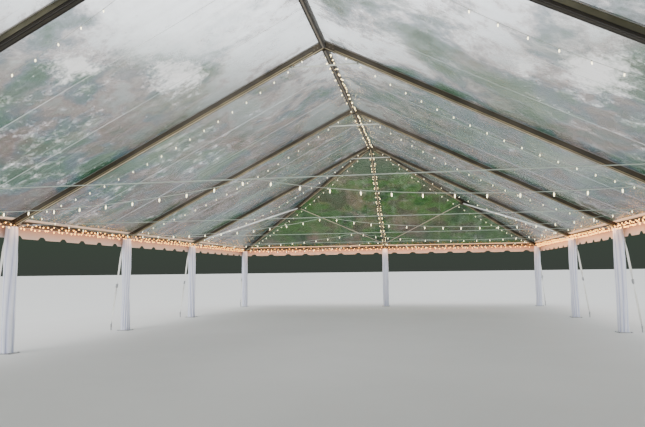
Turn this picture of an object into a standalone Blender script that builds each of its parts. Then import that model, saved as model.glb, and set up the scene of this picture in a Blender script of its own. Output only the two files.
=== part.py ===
"""Hip-ended frame marquee with a clear roof, modelled in metres with +Z up.

The origin is on the floor at the centre of the plan. +Y runs along the ridge and +X to the right.
Main frames stand across the hall one bay apart, and a hip closes each end. Every leg has its own
guy strap and stake.
"""
import math

import bmesh
import bpy
from mathutils import Matrix, Vector

# Hall: centre lines of the legs, and heights of the rafters' centre line above the floor
HALL_WIDTH = 12.192
BAY_LENGTH = 4.572
BAY_COUNT = 3
HIP_LENGTH = 6.096
EAVE_HEIGHT = 2.438
RIDGE_HEIGHT = 5.532

# Aluminium members
RAFTER_DEPTH = 0.125
RAFTER_WIDTH = 0.110
HIP_RAFTER_DEPTH = 0.115
HIP_RAFTER_WIDTH = 0.090
EAVE_BEAM_WIDTH = 0.060
EAVE_BEAM_DEPTH = 0.100
EAVE_BEAM_INSET = 0.046
RIDGE_BEAM_WIDTH = 0.090
RIDGE_BEAM_DEPTH = 0.120

# Crown of a main frame: splice plates on both faces and a tie bar a little lower
CROWN_PLATE_REACH = 0.200
CROWN_PLATE_THICKNESS = 0.008
CROWN_PLATE_LIP = 0.006
CROWN_PLATE_CLEARANCE = 0.008
TIE_BAR_REACH = 0.600
TIE_BAR_DROP = 0.400
TIE_BAR_RADIUS = 0.015
TIE_LUG_WIDTH = 0.040
LUG_THICKNESS = 0.030

# Tension cable from eave to eave under each main frame
CABLE_RADIUS = 0.007
CABLE_INSET = 0.170
CABLE_LUG_WIDTH = 0.050
CABLE_LUG_DROP = 0.050

# Tube braces of a hip end
BRACE_RADIUS = 0.024
THIN_BRACE_RADIUS = 0.014
BRACE_LUG = 0.060
BRACE_LUG_DROP = 0.012
BRACE_FOOT_INSET = 0.246
HIP_NODE_SIZE = 0.150

# Roof sheets and valance
SHEET_THICKNESS = 0.006
SHEET_RECESS = 0.018
EAVE_OVERHANG = 0.137
VALANCE_OFFSET = 0.130
VALANCE_DEPTH = 0.230

# Legs: a post in a fabric cover of eight sides, on a base plate
LEG_COVER_WIDTH = 0.240
BASE_PLATE_WIDTH = 0.320
BASE_PLATE_THICKNESS = 0.012

# Guy straps and stakes
GUY_TOP_CLEARANCE = 0.020
GUY_SPREAD = 0.400
GUY_FOOT_HEIGHT = 0.100
STRAP_WIDTH = 0.050
STRAP_THICKNESS = 0.006
RATCHET_HEIGHT = 1.150
RATCHET_SIZE = (0.040, 0.075, 0.110)
GUY_RING_SIZE = (0.022, 0.060, 0.060)
STAKE_RADIUS = 0.014
STAKE_HEIGHT = 0.150
STAKE_HEAD_RADIUS = 0.026
STAKE_HEAD_THICKNESS = 0.014

# Strings of hanging lights across the hall
STRING_RADIUS = 0.004

SEAT_GAP = 0.0003
WELD_DISTANCE = 0.00001

# Values worked out from the driving dimensions
HALF_WIDTH = HALL_WIDTH / 2
HALF_BAYS = BAY_LENGTH * BAY_COUNT / 2
END_Y = HALF_BAYS + HIP_LENGTH
RISE = RIDGE_HEIGHT - EAVE_HEIGHT
SIDE_SLOPE = math.atan2(RISE, HALF_WIDTH)
END_SLOPE = math.atan2(RISE, HIP_LENGTH)
HIP_PLAN_LENGTH = math.hypot(HALF_WIDTH, HIP_LENGTH)
FRAME_YS = [k * BAY_LENGTH - HALF_BAYS for k in range(BAY_COUNT + 1)]
LEG_YS = [-END_Y] + FRAME_YS + [END_Y]

# Route of a light string, chosen by hand, as places across the hall, off its main frame and above the
# floor: from one rafter's side face past the middle of the tension cable, where it is tied, to the other
STRING_POINTS = [
    (-5.700, 0.0555, 2.640), (-5.700, 0.068, 2.640), (-5.697, 0.082, 2.639), (-5.680, 0.091, 2.630),
    (-5.600, 0.091, 2.588), (-5.400, 0.088, 2.502), (-5.000, 0.082, 2.385), (-4.500, 0.075, 2.280),
    (-4.000, 0.068, 2.210), (-3.500, 0.061, 2.170), (-3.000, 0.054, 2.153), (-2.500, 0.047, 2.155),
    (-2.000, 0.040, 2.172), (-1.500, 0.033, 2.205), (-1.000, 0.026, 2.253), (-0.500, 0.018, 2.318),
    (-0.250, 0.0145, 2.362), (-0.080, 0.0118, 2.396), (0.000, 0.0113, 2.4042), (0.080, 0.0118, 2.396),
    (0.250, 0.0145, 2.360), (0.500, 0.018, 2.320), (1.000, 0.026, 2.262), (1.500, 0.033, 2.222),
    (2.000, 0.040, 2.198), (2.500, 0.047, 2.187), (3.000, 0.054, 2.186), (3.500, 0.061, 2.200),
    (4.000, 0.068, 2.234), (4.500, 0.075, 2.298), (5.000, 0.082, 2.396), (5.400, 0.088, 2.508),
    (5.600, 0.091, 2.590), (5.680, 0.091, 2.630), (5.697, 0.082, 2.639), (5.700, 0.068, 2.640),
    (5.700, 0.0555, 2.640),
]
STRING_FRAMES = {"light_string_near": 0, "light_string_far": 1}


def remove_scene_objects():
    for old in list(bpy.data.objects):
        bpy.data.objects.remove(old, do_unlink=True)


def new_collection(name):
    collection = bpy.data.collections.new(name)
    bpy.context.scene.collection.children.link(collection)
    return collection


def principled(name, colour, roughness, metallic=0.0, alpha=1.0):
    material = bpy.data.materials.new(name)
    material.use_nodes = True
    shader = material.node_tree.nodes["Principled BSDF"]
    shader.inputs["Base Color"].default_value = (*colour, 1.0)
    shader.inputs["Roughness"].default_value = roughness
    shader.inputs["Metallic"].default_value = metallic
    shader.inputs["Alpha"].default_value = alpha
    return material


remove_scene_objects()
MARQUEE = new_collection("marquee_tent")
ALUMINIUM = principled("aluminium", (0.42, 0.40, 0.35), 0.45, metallic=0.9)
CLEAR_VINYL = principled("clear_vinyl", (0.80, 0.86, 0.86), 0.12, alpha=0.35)
WHITE_VINYL = principled("white_vinyl", (0.90, 0.88, 0.85), 0.5)
COVER_FABRIC = principled("cover_fabric", (0.88, 0.89, 0.93), 0.85)
WEBBING = principled("webbing", (0.80, 0.80, 0.76), 0.9)
STRING_WIRE = principled("string_wire", (0.75, 0.75, 0.68), 0.6)


def add_object(name, data):
    item = bpy.data.objects.new(name, data)
    MARQUEE.objects.link(item)
    return item


def mesh_object(name, bm, matrix=None):
    """Turn a bmesh into an object, with its normals pointing outwards."""
    bmesh.ops.recalc_face_normals(bm, faces=bm.faces)
    mesh = bpy.data.meshes.new(name)
    bm.to_mesh(mesh)
    bm.free()
    item = add_object(name, mesh)
    if matrix is not None:
        item.matrix_world = matrix
    return item


def box(name, low, high, matrix=None):
    """A box between two corners."""
    low, high = Vector(low), Vector(high)
    bm = bmesh.new()
    bmesh.ops.create_cube(bm, size=1.0)
    bmesh.ops.scale(bm, vec=high - low, verts=bm.verts)
    bmesh.ops.translate(bm, vec=(low + high) / 2, verts=bm.verts)
    return mesh_object(name, bm, matrix)


def rod(name, start, end, radius, sides=12):
    """A round bar between two points."""
    start, end = Vector(start), Vector(end)
    bm = bmesh.new()
    bmesh.ops.create_cone(bm, cap_ends=True, segments=sides, radius1=radius, radius2=radius,
                          depth=(end - start).length)
    item = mesh_object(name, bm)
    item.rotation_mode = "QUATERNION"
    item.rotation_quaternion = (end - start).to_track_quat("Z", "Y")
    item.location = (start + end) / 2
    return item


def to_mesh_object(source):
    """Replace a curve object with the mesh that it makes, its caps welded."""
    bpy.context.view_layer.update()
    evaluated = source.evaluated_get(bpy.context.evaluated_depsgraph_get())
    mesh = bpy.data.meshes.new_from_object(evaluated)
    bm = bmesh.new()
    bm.from_mesh(mesh)
    bmesh.ops.remove_doubles(bm, verts=bm.verts, dist=WELD_DISTANCE)
    bm.to_mesh(mesh)
    bm.free()
    name, place = source.name, source.matrix_world.copy()
    bpy.data.objects.remove(source, do_unlink=True)
    item = add_object(name, mesh)
    item.matrix_world = place
    return item


def plate(name, outline, thickness, matrix):
    """A flat outline with a thickness, centred on the XY plane of its matrix."""
    curve = bpy.data.curves.new(name, "CURVE")
    curve.dimensions = "2D"
    curve.fill_mode = "BOTH"
    curve.extrude = thickness / 2
    spline = curve.splines.new("POLY")
    spline.points.add(len(outline) - 1)
    for point, (x, y) in zip(spline.points, outline):
        point.co = (x, y, 0.0, 1.0)
    spline.use_cyclic_u = True
    item = add_object(name, curve)
    item.matrix_world = matrix
    return to_mesh_object(item)


def fuse(name, pieces):
    """Join solids that touch or pass through each other into one closed body."""
    first = pieces[0]
    for other in pieces[1:]:
        union = first.modifiers.new("join", "BOOLEAN")
        union.operation = "UNION"
        union.solver = "EXACT"
        union.object = other
    bpy.context.view_layer.update()
    evaluated = first.evaluated_get(bpy.context.evaluated_depsgraph_get())
    mesh = bpy.data.meshes.new_from_object(evaluated)
    first.modifiers.clear()
    first.data = mesh
    first.name = name
    for other in pieces[1:]:
        bpy.data.objects.remove(other, do_unlink=True)
    return first


def finish(item, material, parent):
    """Give a node its material and hang it on the marquee's empty."""
    item.data.materials.clear()
    item.data.materials.append(material)
    place = item.matrix_world.copy()
    item.parent = parent
    item.matrix_world = place
    return item


def axes_matrix(right, up, origin):
    """A placing matrix whose X and Y run along two unit vectors."""
    right, up = Vector(right), Vector(up)
    normal = right.cross(up)
    matrix = Matrix((right, up, normal)).transposed().to_4x4()
    matrix.translation = Vector(origin)
    return matrix


def upright_matrix(direction, origin):
    """A plane that stands up: X along a level direction, Y straight up."""
    return axes_matrix(Vector(direction).normalized(), (0, 0, 1), origin)


def rafter_height(across):
    """Height of the rafters' centre line at a distance from the ridge."""
    return EAVE_HEIGHT + (HALF_WIDTH - across) * math.tan(SIDE_SLOPE)


def sheet_underside(across):
    """Height of the side sheets' lower face at a distance from the ridge."""
    above = RAFTER_DEPTH / 2 - SHEET_RECESS - SHEET_THICKNESS
    return rafter_height(across) + above / math.cos(SIDE_SLOPE)


def end_sheet_underside(along):
    """Height of the end sheets' lower face at a distance from the middle of the hall."""
    above = RAFTER_DEPTH / 2 - SHEET_RECESS - SHEET_THICKNESS
    return EAVE_HEIGHT + (END_Y - along) * math.tan(END_SLOPE) + above / math.cos(END_SLOPE)


BEAM_X = HALF_WIDTH - EAVE_BEAM_INSET
BEAM_Y = END_Y - EAVE_BEAM_INSET
BEAM_TOP = min(sheet_underside(BEAM_X + EAVE_BEAM_WIDTH / 2),
               end_sheet_underside(BEAM_Y + EAVE_BEAM_WIDTH / 2)) - SEAT_GAP
BEAM_BOTTOM = BEAM_TOP - EAVE_BEAM_DEPTH
VALANCE_TOP = min(sheet_underside(HALF_WIDTH + VALANCE_OFFSET + SHEET_THICKNESS),
                  end_sheet_underside(END_Y + VALANCE_OFFSET + SHEET_THICKNESS)) - SEAT_GAP
VALANCE_BOTTOM = VALANCE_TOP - VALANCE_DEPTH
GUY_TOP_HEIGHT = VALANCE_BOTTOM - GUY_TOP_CLEARANCE - GUY_RING_SIZE[2] / 2
BEAM_INNER_X = BEAM_X - EAVE_BEAM_WIDTH / 2
BEAM_INNER_Y = BEAM_Y - EAVE_BEAM_WIDTH / 2
CROWN_HALF = RAFTER_WIDTH / 2 + CROWN_PLATE_THICKNESS


def main_frame(name, y, parent):
    """Two rafters with splice plates at the crown, a tie bar and the tension cable, as one frame."""
    half_depth = RAFTER_DEPTH / 2 / math.cos(SIDE_SLOPE)
    foot = BEAM_INNER_X - SEAT_GAP
    right_side = [
        (foot, rafter_height(foot) + half_depth),
        (foot, rafter_height(foot) - half_depth),
        (0.0, rafter_height(0.0) - half_depth),
    ]
    left_side = [(-x, z) for x, z in reversed(right_side[:-1])]
    outline = [(0.0, rafter_height(0.0) + half_depth)] + right_side + left_side
    matrix = upright_matrix((1, 0, 0), (0, y, 0))
    pieces = [plate(name, outline, RAFTER_WIDTH, matrix)]

    # The splice plates stay below the sheets and stand a lip proud of the rafters' undersides
    high = sheet_underside(0.0) - CROWN_PLATE_CLEARANCE
    low = rafter_height(0.0) - half_depth - CROWN_PLATE_LIP
    fall = CROWN_PLATE_REACH * math.tan(SIDE_SLOPE)
    crown = [(0.0, high), (CROWN_PLATE_REACH, high - fall), (CROWN_PLATE_REACH, low - fall), (0.0, low),
             (-CROWN_PLATE_REACH, low - fall), (-CROWN_PLATE_REACH, high - fall)]
    pieces.append(plate("crown", crown, 2 * CROWN_HALF, matrix))

    tie_z = RIDGE_HEIGHT - TIE_BAR_DROP
    tie_half = TIE_BAR_REACH + TIE_LUG_WIDTH
    pieces.append(rod("tie", (-tie_half, y, tie_z), (tie_half, y, tie_z), TIE_BAR_RADIUS))
    cable_x = HALF_WIDTH - CABLE_INSET
    cable_z = rafter_height(cable_x) - half_depth - CABLE_LUG_DROP
    pieces.append(rod("cable", (-cable_x, y, cable_z), (cable_x, y, cable_z), CABLE_RADIUS, sides=8))
    for side in (-1, 1):
        for reach, width, low in ((TIE_BAR_REACH, TIE_LUG_WIDTH, tie_z - 2 * TIE_BAR_RADIUS),
                                  (cable_x, CABLE_LUG_WIDTH, cable_z - 2 * CABLE_RADIUS)):
            middle = side * reach
            pieces.append(box("lug", (middle - width / 2, y - LUG_THICKNESS / 2, low),
                              (middle + width / 2, y + LUG_THICKNESS / 2, rafter_height(reach))))
    return finish(fuse(name, pieces), ALUMINIUM, parent)


def sloped_bar(name, direction, origin, start, stop, top_at, depth, width):
    """A bar in an upright plane between two plan distances, its top following top_at."""
    outline = [(start, top_at(start)), (stop, top_at(stop)),
               (stop, top_at(stop) - depth), (start, top_at(start) - depth)]
    return plate(name, outline, width, upright_matrix(direction, origin))


def hip_frame(name, end, parent):
    """Two hip rafters, the middle rafter of the end slope and their tube braces, welded into one."""
    frame_y = end * HALF_BAYS
    clear_y = RAFTER_WIDTH / 2 + SEAT_GAP
    crown_y = CROWN_HALF + SEAT_GAP
    hip_angle = math.atan2(RISE, HIP_PLAN_LENGTH)
    hip_depth = HIP_RAFTER_DEPTH / math.cos(hip_angle)
    # The sheets fall away on both sides of the hip line, so the rafter's top edges touch them first
    side_fall = math.tan(SIDE_SLOPE) * HIP_LENGTH / HIP_PLAN_LENGTH
    end_fall = math.tan(END_SLOPE) * HALF_WIDTH / HIP_PLAN_LENGTH
    hip_drop = max(side_fall, end_fall) * HIP_RAFTER_WIDTH / 2 + SEAT_GAP

    def hip_top(distance):
        return sheet_underside(distance * HALF_WIDTH / HIP_PLAN_LENGTH) - hip_drop

    def end_top(distance):
        return end_sheet_underside(HALF_BAYS + distance) - SEAT_GAP

    sine, cosine = HIP_LENGTH / HIP_PLAN_LENGTH, HALF_WIDTH / HIP_PLAN_LENGTH
    half_bar = HIP_RAFTER_WIDTH / 2
    hip_start = (crown_y + half_bar * cosine) / sine
    hip_stop = min((BEAM_INNER_X - SEAT_GAP - half_bar * sine) / cosine,
                   (BEAM_INNER_Y - HALF_BAYS - SEAT_GAP - half_bar * cosine) / sine)
    origin = (0, frame_y, 0)
    end_depth = HIP_RAFTER_DEPTH / math.cos(END_SLOPE)
    end_stop = BEAM_INNER_Y - HALF_BAYS - SEAT_GAP
    pieces = [sloped_bar(name, (0, end, 0), origin, crown_y, end_stop, end_top, end_depth,
                         HIP_RAFTER_WIDTH)]

    node_distance = HIP_PLAN_LENGTH / 2
    node_z = hip_top(node_distance) - hip_depth
    end_foot = end_stop - BRACE_FOOT_INSET
    for side in (-1, 1):
        direction = (side * HALF_WIDTH, end * HIP_LENGTH, 0)
        pieces.append(sloped_bar("hip", direction, origin, hip_start, hip_stop, hip_top, hip_depth,
                                 HIP_RAFTER_WIDTH))
        node = Vector((side * node_distance * cosine, frame_y + end * node_distance * sine, node_z))
        half_node = Vector((HIP_NODE_SIZE, HIP_NODE_SIZE, HIP_NODE_SIZE)) / 2
        pieces.append(box("node", node - half_node, node + half_node))

        lug_x = HALF_WIDTH - BRACE_FOOT_INSET
        foot = Vector((side * lug_x, frame_y + end * (clear_y + BRACE_LUG / 2),
                       rafter_height(lug_x) - BRACE_LUG_DROP))
        half_lug = Vector((BRACE_LUG, BRACE_LUG, BRACE_LUG)) / 2
        pieces.append(box("lug", foot - half_lug, foot + half_lug))
        pieces.append(rod("brace", foot, node, BRACE_RADIUS))

        end_foot_point = (0, frame_y + end * end_foot, end_top(end_foot) - end_depth / 2)
        pieces.append(rod("thin_brace", end_foot_point, node, THIN_BRACE_RADIUS, sides=8))
    return finish(fuse(name, pieces), ALUMINIUM, parent)


def ridge_beam(name, start_y, parent):
    """A ridge purlin between two crowns, its top peaked to carry the sheets."""
    half = RIDGE_BEAM_WIDTH / 2
    apex = sheet_underside(0.0) - SEAT_GAP
    shoulder = sheet_underside(half) - SEAT_GAP
    bottom = shoulder - RIDGE_BEAM_DEPTH
    outline = [(0.0, apex), (-half, shoulder), (-half, bottom), (half, bottom), (half, shoulder)]
    length = BAY_LENGTH - 2 * (CROWN_HALF + SEAT_GAP)
    matrix = upright_matrix((1, 0, 0), (0, start_y + BAY_LENGTH / 2, 0))
    return finish(plate(name, outline, length, matrix), ALUMINIUM, parent)


def eave_beams(parent):
    """Side beams run the whole length, and the end beams fit between them."""
    half = EAVE_BEAM_WIDTH / 2
    outer_y = BEAM_Y + half
    for side, name in ((-1, "eave_beam_left"), (1, "eave_beam_right")):
        middle = side * BEAM_X
        beam = box(name, (middle - half, -outer_y, BEAM_BOTTOM), (middle + half, outer_y, BEAM_TOP))
        finish(beam, ALUMINIUM, parent)
    reach = BEAM_INNER_X - SEAT_GAP
    for end, name in ((-1, "eave_beam_front"), (1, "eave_beam_back")):
        middle = end * BEAM_Y
        beam = box(name, (-reach, middle - half, BEAM_BOTTOM), (reach, middle + half, BEAM_TOP))
        finish(beam, ALUMINIUM, parent)


def roof_sheet(name, right, up, eave_point, outline, parent):
    """A flat sheet in a slope's plane: outline runs (along the eave, up the slope)."""
    normal = Vector(right).cross(Vector(up))
    middle = Vector(eave_point) + normal * (RAFTER_DEPTH / 2 - SHEET_RECESS - SHEET_THICKNESS / 2)
    sheet = plate(name, outline, SHEET_THICKNESS, axes_matrix(right, up, middle))
    return finish(sheet, CLEAR_VINYL, parent)


def side_plane(side):
    """Directions of a side slope: along the eave, and up the slope."""
    up = Vector((-side * math.cos(SIDE_SLOPE), 0, math.sin(SIDE_SLOPE)))
    return Vector((0, side, 0)), up


def roof_bays(parent):
    """Six sheets between the main frames, from the ridge to the eave's overhang."""
    # The sheets' lower edges meet above the ridge, so the upper ones stand a little apart
    ridge_cut = (RAFTER_DEPTH / 2 - SHEET_RECESS) * math.tan(SIDE_SLOPE) - SEAT_GAP
    top = HALF_WIDTH / math.cos(SIDE_SLOPE) - SHEET_THICKNESS * math.tan(SIDE_SLOPE) + ridge_cut
    low = -EAVE_OVERHANG / math.cos(SIDE_SLOPE)
    half = BAY_LENGTH / 2 - RAFTER_WIDTH / 2 - SEAT_GAP
    for side, word in ((-1, "left"), (1, "right")):
        right, up = side_plane(side)
        for bay in range(BAY_COUNT):
            middle_y = FRAME_YS[bay] + BAY_LENGTH / 2
            outline = [(-half, low), (half, low), (half, top), (-half, top)]
            eave_point = (side * HALF_WIDTH, middle_y, EAVE_HEIGHT)
            roof_sheet(f"roof_{word}_{bay + 1}", right, up, eave_point, outline, parent)


def roof_hips(parent):
    """Two side triangles and one end sheet over each hip, parted along the hip lines."""
    seam = SHEET_THICKNESS * HIP_PLAN_LENGTH / HALF_WIDTH
    for end, end_word in ((-1, "front"), (1, "back")):
        near = RAFTER_WIDTH / 2 + SEAT_GAP
        low = -EAVE_OVERHANG / math.cos(SIDE_SLOPE)
        # Distance along the eave to the hip line, for a distance up the slope
        hip_run = HIP_LENGTH / (HALF_WIDTH / math.cos(SIDE_SLOPE))
        for side, word in ((-1, "left"), (1, "right")):
            right, up = side_plane(side)
            flip = side * end
            far = HIP_LENGTH - low * hip_run - seam
            peak = (HIP_LENGTH - near - seam) / hip_run
            outline = [(flip * near, low), (flip * far, low), (flip * near, peak)]
            eave_point = (side * HALF_WIDTH, end * HALF_BAYS, EAVE_HEIGHT)
            roof_sheet(f"roof_{end_word}_{word}", right, up, eave_point, outline, parent)

        right = Vector((-end, 0, 0))
        up = Vector((0, -end * math.cos(END_SLOPE), math.sin(END_SLOPE)))
        low = -EAVE_OVERHANG / math.cos(END_SLOPE)
        width_run = HALF_WIDTH / (HIP_LENGTH / math.cos(END_SLOPE))
        top = (HIP_LENGTH - near) / math.cos(END_SLOPE)
        low_half = HALF_WIDTH - low * width_run - seam
        top_half = HALF_WIDTH - top * width_run - seam
        outline = [(-low_half, low), (low_half, low), (top_half, top), (-top_half, top)]
        eave_point = (0, end * END_Y, EAVE_HEIGHT)
        roof_sheet(f"roof_{end_word}_end", right, up, eave_point, outline, parent)


def valances(parent):
    """Upright strips under the sheets' edges, outside the legs."""
    inner_x = HALF_WIDTH + VALANCE_OFFSET
    outer_x = inner_x + SHEET_THICKNESS
    inner_y = END_Y + VALANCE_OFFSET
    outer_y = inner_y + SHEET_THICKNESS
    for side, name in ((-1, "valance_left"), (1, "valance_right")):
        low_x, high_x = sorted((side * inner_x, side * outer_x))
        strip = box(name, (low_x, -outer_y, VALANCE_BOTTOM), (high_x, outer_y, VALANCE_TOP))
        finish(strip, WHITE_VINYL, parent)
    for end, name in ((-1, "valance_front"), (1, "valance_back")):
        low_y, high_y = sorted((end * inner_y, end * outer_y))
        reach = inner_x - SEAT_GAP
        strip = box(name, (-reach, low_y, VALANCE_BOTTOM), (reach, high_y, VALANCE_TOP))
        finish(strip, WHITE_VINYL, parent)


def leg(name, x, y, parent):
    """A post in its eight-sided fabric cover, standing on a base plate."""
    half = BASE_PLATE_WIDTH / 2
    base = box(name, (x - half, y - half, 0.0), (x + half, y + half, BASE_PLATE_THICKNESS))
    low, high = BASE_PLATE_THICKNESS / 2, BEAM_BOTTOM - SEAT_GAP
    corner_radius = LEG_COVER_WIDTH / 2 / math.cos(math.pi / 8)
    bm = bmesh.new()
    bmesh.ops.create_cone(bm, cap_ends=True, segments=8, radius1=corner_radius,
                          radius2=corner_radius, depth=high - low)
    # A flat side faces each way along X, Y and the diagonals, so a guy's ring lies flat on it
    bmesh.ops.rotate(bm, matrix=Matrix.Rotation(math.pi / 8, 3, "Z"), verts=bm.verts)
    bmesh.ops.translate(bm, vec=(x, y, (low + high) / 2), verts=bm.verts)
    cover = mesh_object("cover", bm)
    return finish(fuse(name, [base, cover]), COVER_FABRIC, parent)


def guy(name, x, y, outward, parent):
    """A ratchet strap from a ring on the leg down to a stake, leaning outwards."""
    direction = Vector(outward).normalized()
    matrix = axes_matrix(direction, Vector((-direction.y, direction.x, 0)), (x, y, 0))
    ring_start = LEG_COVER_WIDTH / 2 + SEAT_GAP
    ring_x, ring_y, ring_z = GUY_RING_SIZE
    ring_middle = ring_start + ring_x / 2
    run = GUY_SPREAD - ring_middle
    fall = GUY_TOP_HEIGHT - GUY_FOOT_HEIGHT
    half = STRAP_THICKNESS / 2 * math.hypot(run, fall) / fall
    strap_outline = [(ring_middle - half, GUY_TOP_HEIGHT), (ring_middle + half, GUY_TOP_HEIGHT),
                     (GUY_SPREAD + half, GUY_FOOT_HEIGHT), (GUY_SPREAD - half, GUY_FOOT_HEIGHT)]
    strap = plate(name, strap_outline, STRAP_WIDTH, upright_matrix(direction, (x, y, 0)))
    ring = box("ring", (ring_start, -ring_y / 2, GUY_TOP_HEIGHT - ring_z / 2),
               (ring_start + ring_x, ring_y / 2, GUY_TOP_HEIGHT + ring_z / 2), matrix)

    ratchet_out = GUY_SPREAD - run * (RATCHET_HEIGHT - GUY_FOOT_HEIGHT) / fall
    lean = Matrix.Rotation(-math.atan2(run, fall), 4, "Y")
    size = Vector(RATCHET_SIZE)
    place = matrix @ Matrix.Translation((ratchet_out, 0, RATCHET_HEIGHT)) @ lean
    ratchet = box("ratchet", -size / 2, size / 2, place)

    foot = Vector((x, y, 0)) + direction * GUY_SPREAD
    stake = rod("stake", foot, foot + Vector((0, 0, STAKE_HEIGHT)), STAKE_RADIUS, sides=10)
    head_top = foot + Vector((0, 0, STAKE_HEIGHT + STAKE_HEAD_THICKNESS / 2))
    head_low = foot + Vector((0, 0, STAKE_HEIGHT - STAKE_HEAD_THICKNESS / 2))
    head = rod("head", head_low, head_top, STAKE_HEAD_RADIUS, sides=10)
    return finish(fuse(name, [strap, ring, ratchet, stake, head]), WEBBING, parent)


def legs_and_guys(parent):
    """Six legs on each side and one in the middle of each end, every one with a guy."""
    last = len(LEG_YS) - 1
    for side, word in ((-1, "left"), (1, "right")):
        for number, y in enumerate(LEG_YS):
            end = {0: -1, last: 1}.get(number, 0)
            leg(f"leg_{word}_{number + 1}", side * HALF_WIDTH, y, parent)
            guy(f"guy_{word}_{number + 1}", side * HALF_WIDTH, y, (side, end, 0), parent)
    for end, word in ((-1, "front"), (1, "back")):
        leg(f"leg_{word}", 0.0, end * END_Y, parent)
        guy(f"guy_{word}", 0.0, end * END_Y, (0, end, 0), parent)


def light_string(name, frame_y, parent):
    """A thin cord hung in two swags beside a main frame's tension cable."""
    route = [(x, frame_y + out, z) for x, out, z in STRING_POINTS]
    curve = bpy.data.curves.new(name, "CURVE")
    curve.dimensions = "3D"
    curve.bevel_depth = STRING_RADIUS
    curve.bevel_resolution = 2
    curve.use_fill_caps = True
    spline = curve.splines.new("POLY")
    spline.points.add(len(route) - 1)
    for point, place in zip(spline.points, route):
        point.co = (*place, 1.0)
    item = to_mesh_object(add_object(name, curve))
    return finish(item, STRING_WIRE, parent)


def build():
    marquee = bpy.data.objects.new("marquee", None)
    MARQUEE.objects.link(marquee)
    for number, y in enumerate(FRAME_YS):
        main_frame(f"main_frame_{number + 1}", y, marquee)
    hip_frame("hip_frame_front", -1, marquee)
    hip_frame("hip_frame_back", 1, marquee)
    for bay in range(BAY_COUNT):
        ridge_beam(f"ridge_beam_{bay + 1}", FRAME_YS[bay], marquee)
    eave_beams(marquee)
    roof_bays(marquee)
    roof_hips(marquee)
    valances(marquee)
    legs_and_guys(marquee)
    for name, number in STRING_FRAMES.items():
        light_string(name, FRAME_YS[number], marquee)


build()
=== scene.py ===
"""Looks of the frame marquee: box sections, clear vinyl, valance, leg covers, guys and strings of lights.

Metres, +Z up. +Y runs along the ridge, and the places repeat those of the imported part.
"""
import math

import bpy
import numpy as np
from mathutils import Matrix, Vector


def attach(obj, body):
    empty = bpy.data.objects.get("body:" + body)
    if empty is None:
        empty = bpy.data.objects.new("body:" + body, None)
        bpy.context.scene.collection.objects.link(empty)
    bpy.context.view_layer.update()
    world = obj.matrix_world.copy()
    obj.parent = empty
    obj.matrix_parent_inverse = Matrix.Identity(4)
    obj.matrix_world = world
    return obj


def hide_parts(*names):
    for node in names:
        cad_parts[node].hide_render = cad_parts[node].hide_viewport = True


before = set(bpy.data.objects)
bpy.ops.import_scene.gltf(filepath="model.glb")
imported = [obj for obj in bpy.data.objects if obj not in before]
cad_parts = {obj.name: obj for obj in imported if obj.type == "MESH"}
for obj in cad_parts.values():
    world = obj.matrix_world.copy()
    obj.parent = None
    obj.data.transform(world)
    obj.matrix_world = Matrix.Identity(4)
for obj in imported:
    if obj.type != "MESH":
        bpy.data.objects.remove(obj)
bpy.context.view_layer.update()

X, Y, Z = (1, 0, 0), (0, 1, 0), (0, 0, 1)
SIDES = ((-1, "left"), (1, "right"))
ENDS = ((-1, "front"), (1, "back"))

# Hall, as in the part
HALF_WIDTH = 6.096
BAY_LENGTH = 4.572
HALF_BAYS = 6.858
HIP_LENGTH = 6.096
END_Y = HALF_BAYS + HIP_LENGTH
EAVE_HEIGHT = 2.438
RIDGE_HEIGHT = 5.532
FRAME_YS = [-6.858, -2.286, 2.286, 6.858]
LEG_YS = [-END_Y] + FRAME_YS + [END_Y]
SLOPE = math.atan2(RIDGE_HEIGHT - EAVE_HEIGHT, HALF_WIDTH)
COS, SIN, TAN = math.cos(SLOPE), math.sin(SLOPE), math.tan(SLOPE)

# Members
RAFTER_DEPTH, RAFTER_WIDTH = 0.125, 0.110
HIP_DEPTH, HIP_WIDTH = 0.115, 0.090
RIDGE_DEPTH, RIDGE_WIDTH = 0.120, 0.090
BEAM_DEPTH, BEAM_WIDTH, BEAM_INSET = 0.100, 0.060, 0.046
CROWN_HALF = 0.063
GAP = 0.0003
BEAM_X, BEAM_Y = HALF_WIDTH - BEAM_INSET, END_Y - BEAM_INSET
FOOT_X = BEAM_X - BEAM_WIDTH / 2 - GAP
FOOT_Y = BEAM_Y - BEAM_WIDTH / 2 - GAP

# Sheets: distance of their middle above the rafters' centre line, square to the slope
SHEET_RISE = 0.0415
SHEET_HALF = 0.003
EAVE_OVERHANG = 0.137
VALANCE_OUT = 0.1315
VALANCE_DEPTH = 0.230
SCALLOP = 0.762

# Camera fitted to the photograph
CAMERA_PLACE = (1.714, -12.796, 1.458)
CAMERA_YAW, CAMERA_PITCH, CAMERA_ROLL = 9.60, 5.44, -0.684
FOCAL_PIXELS, IMAGE_WIDTH, SENSOR = 611.5, 645, 36.0

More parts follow.
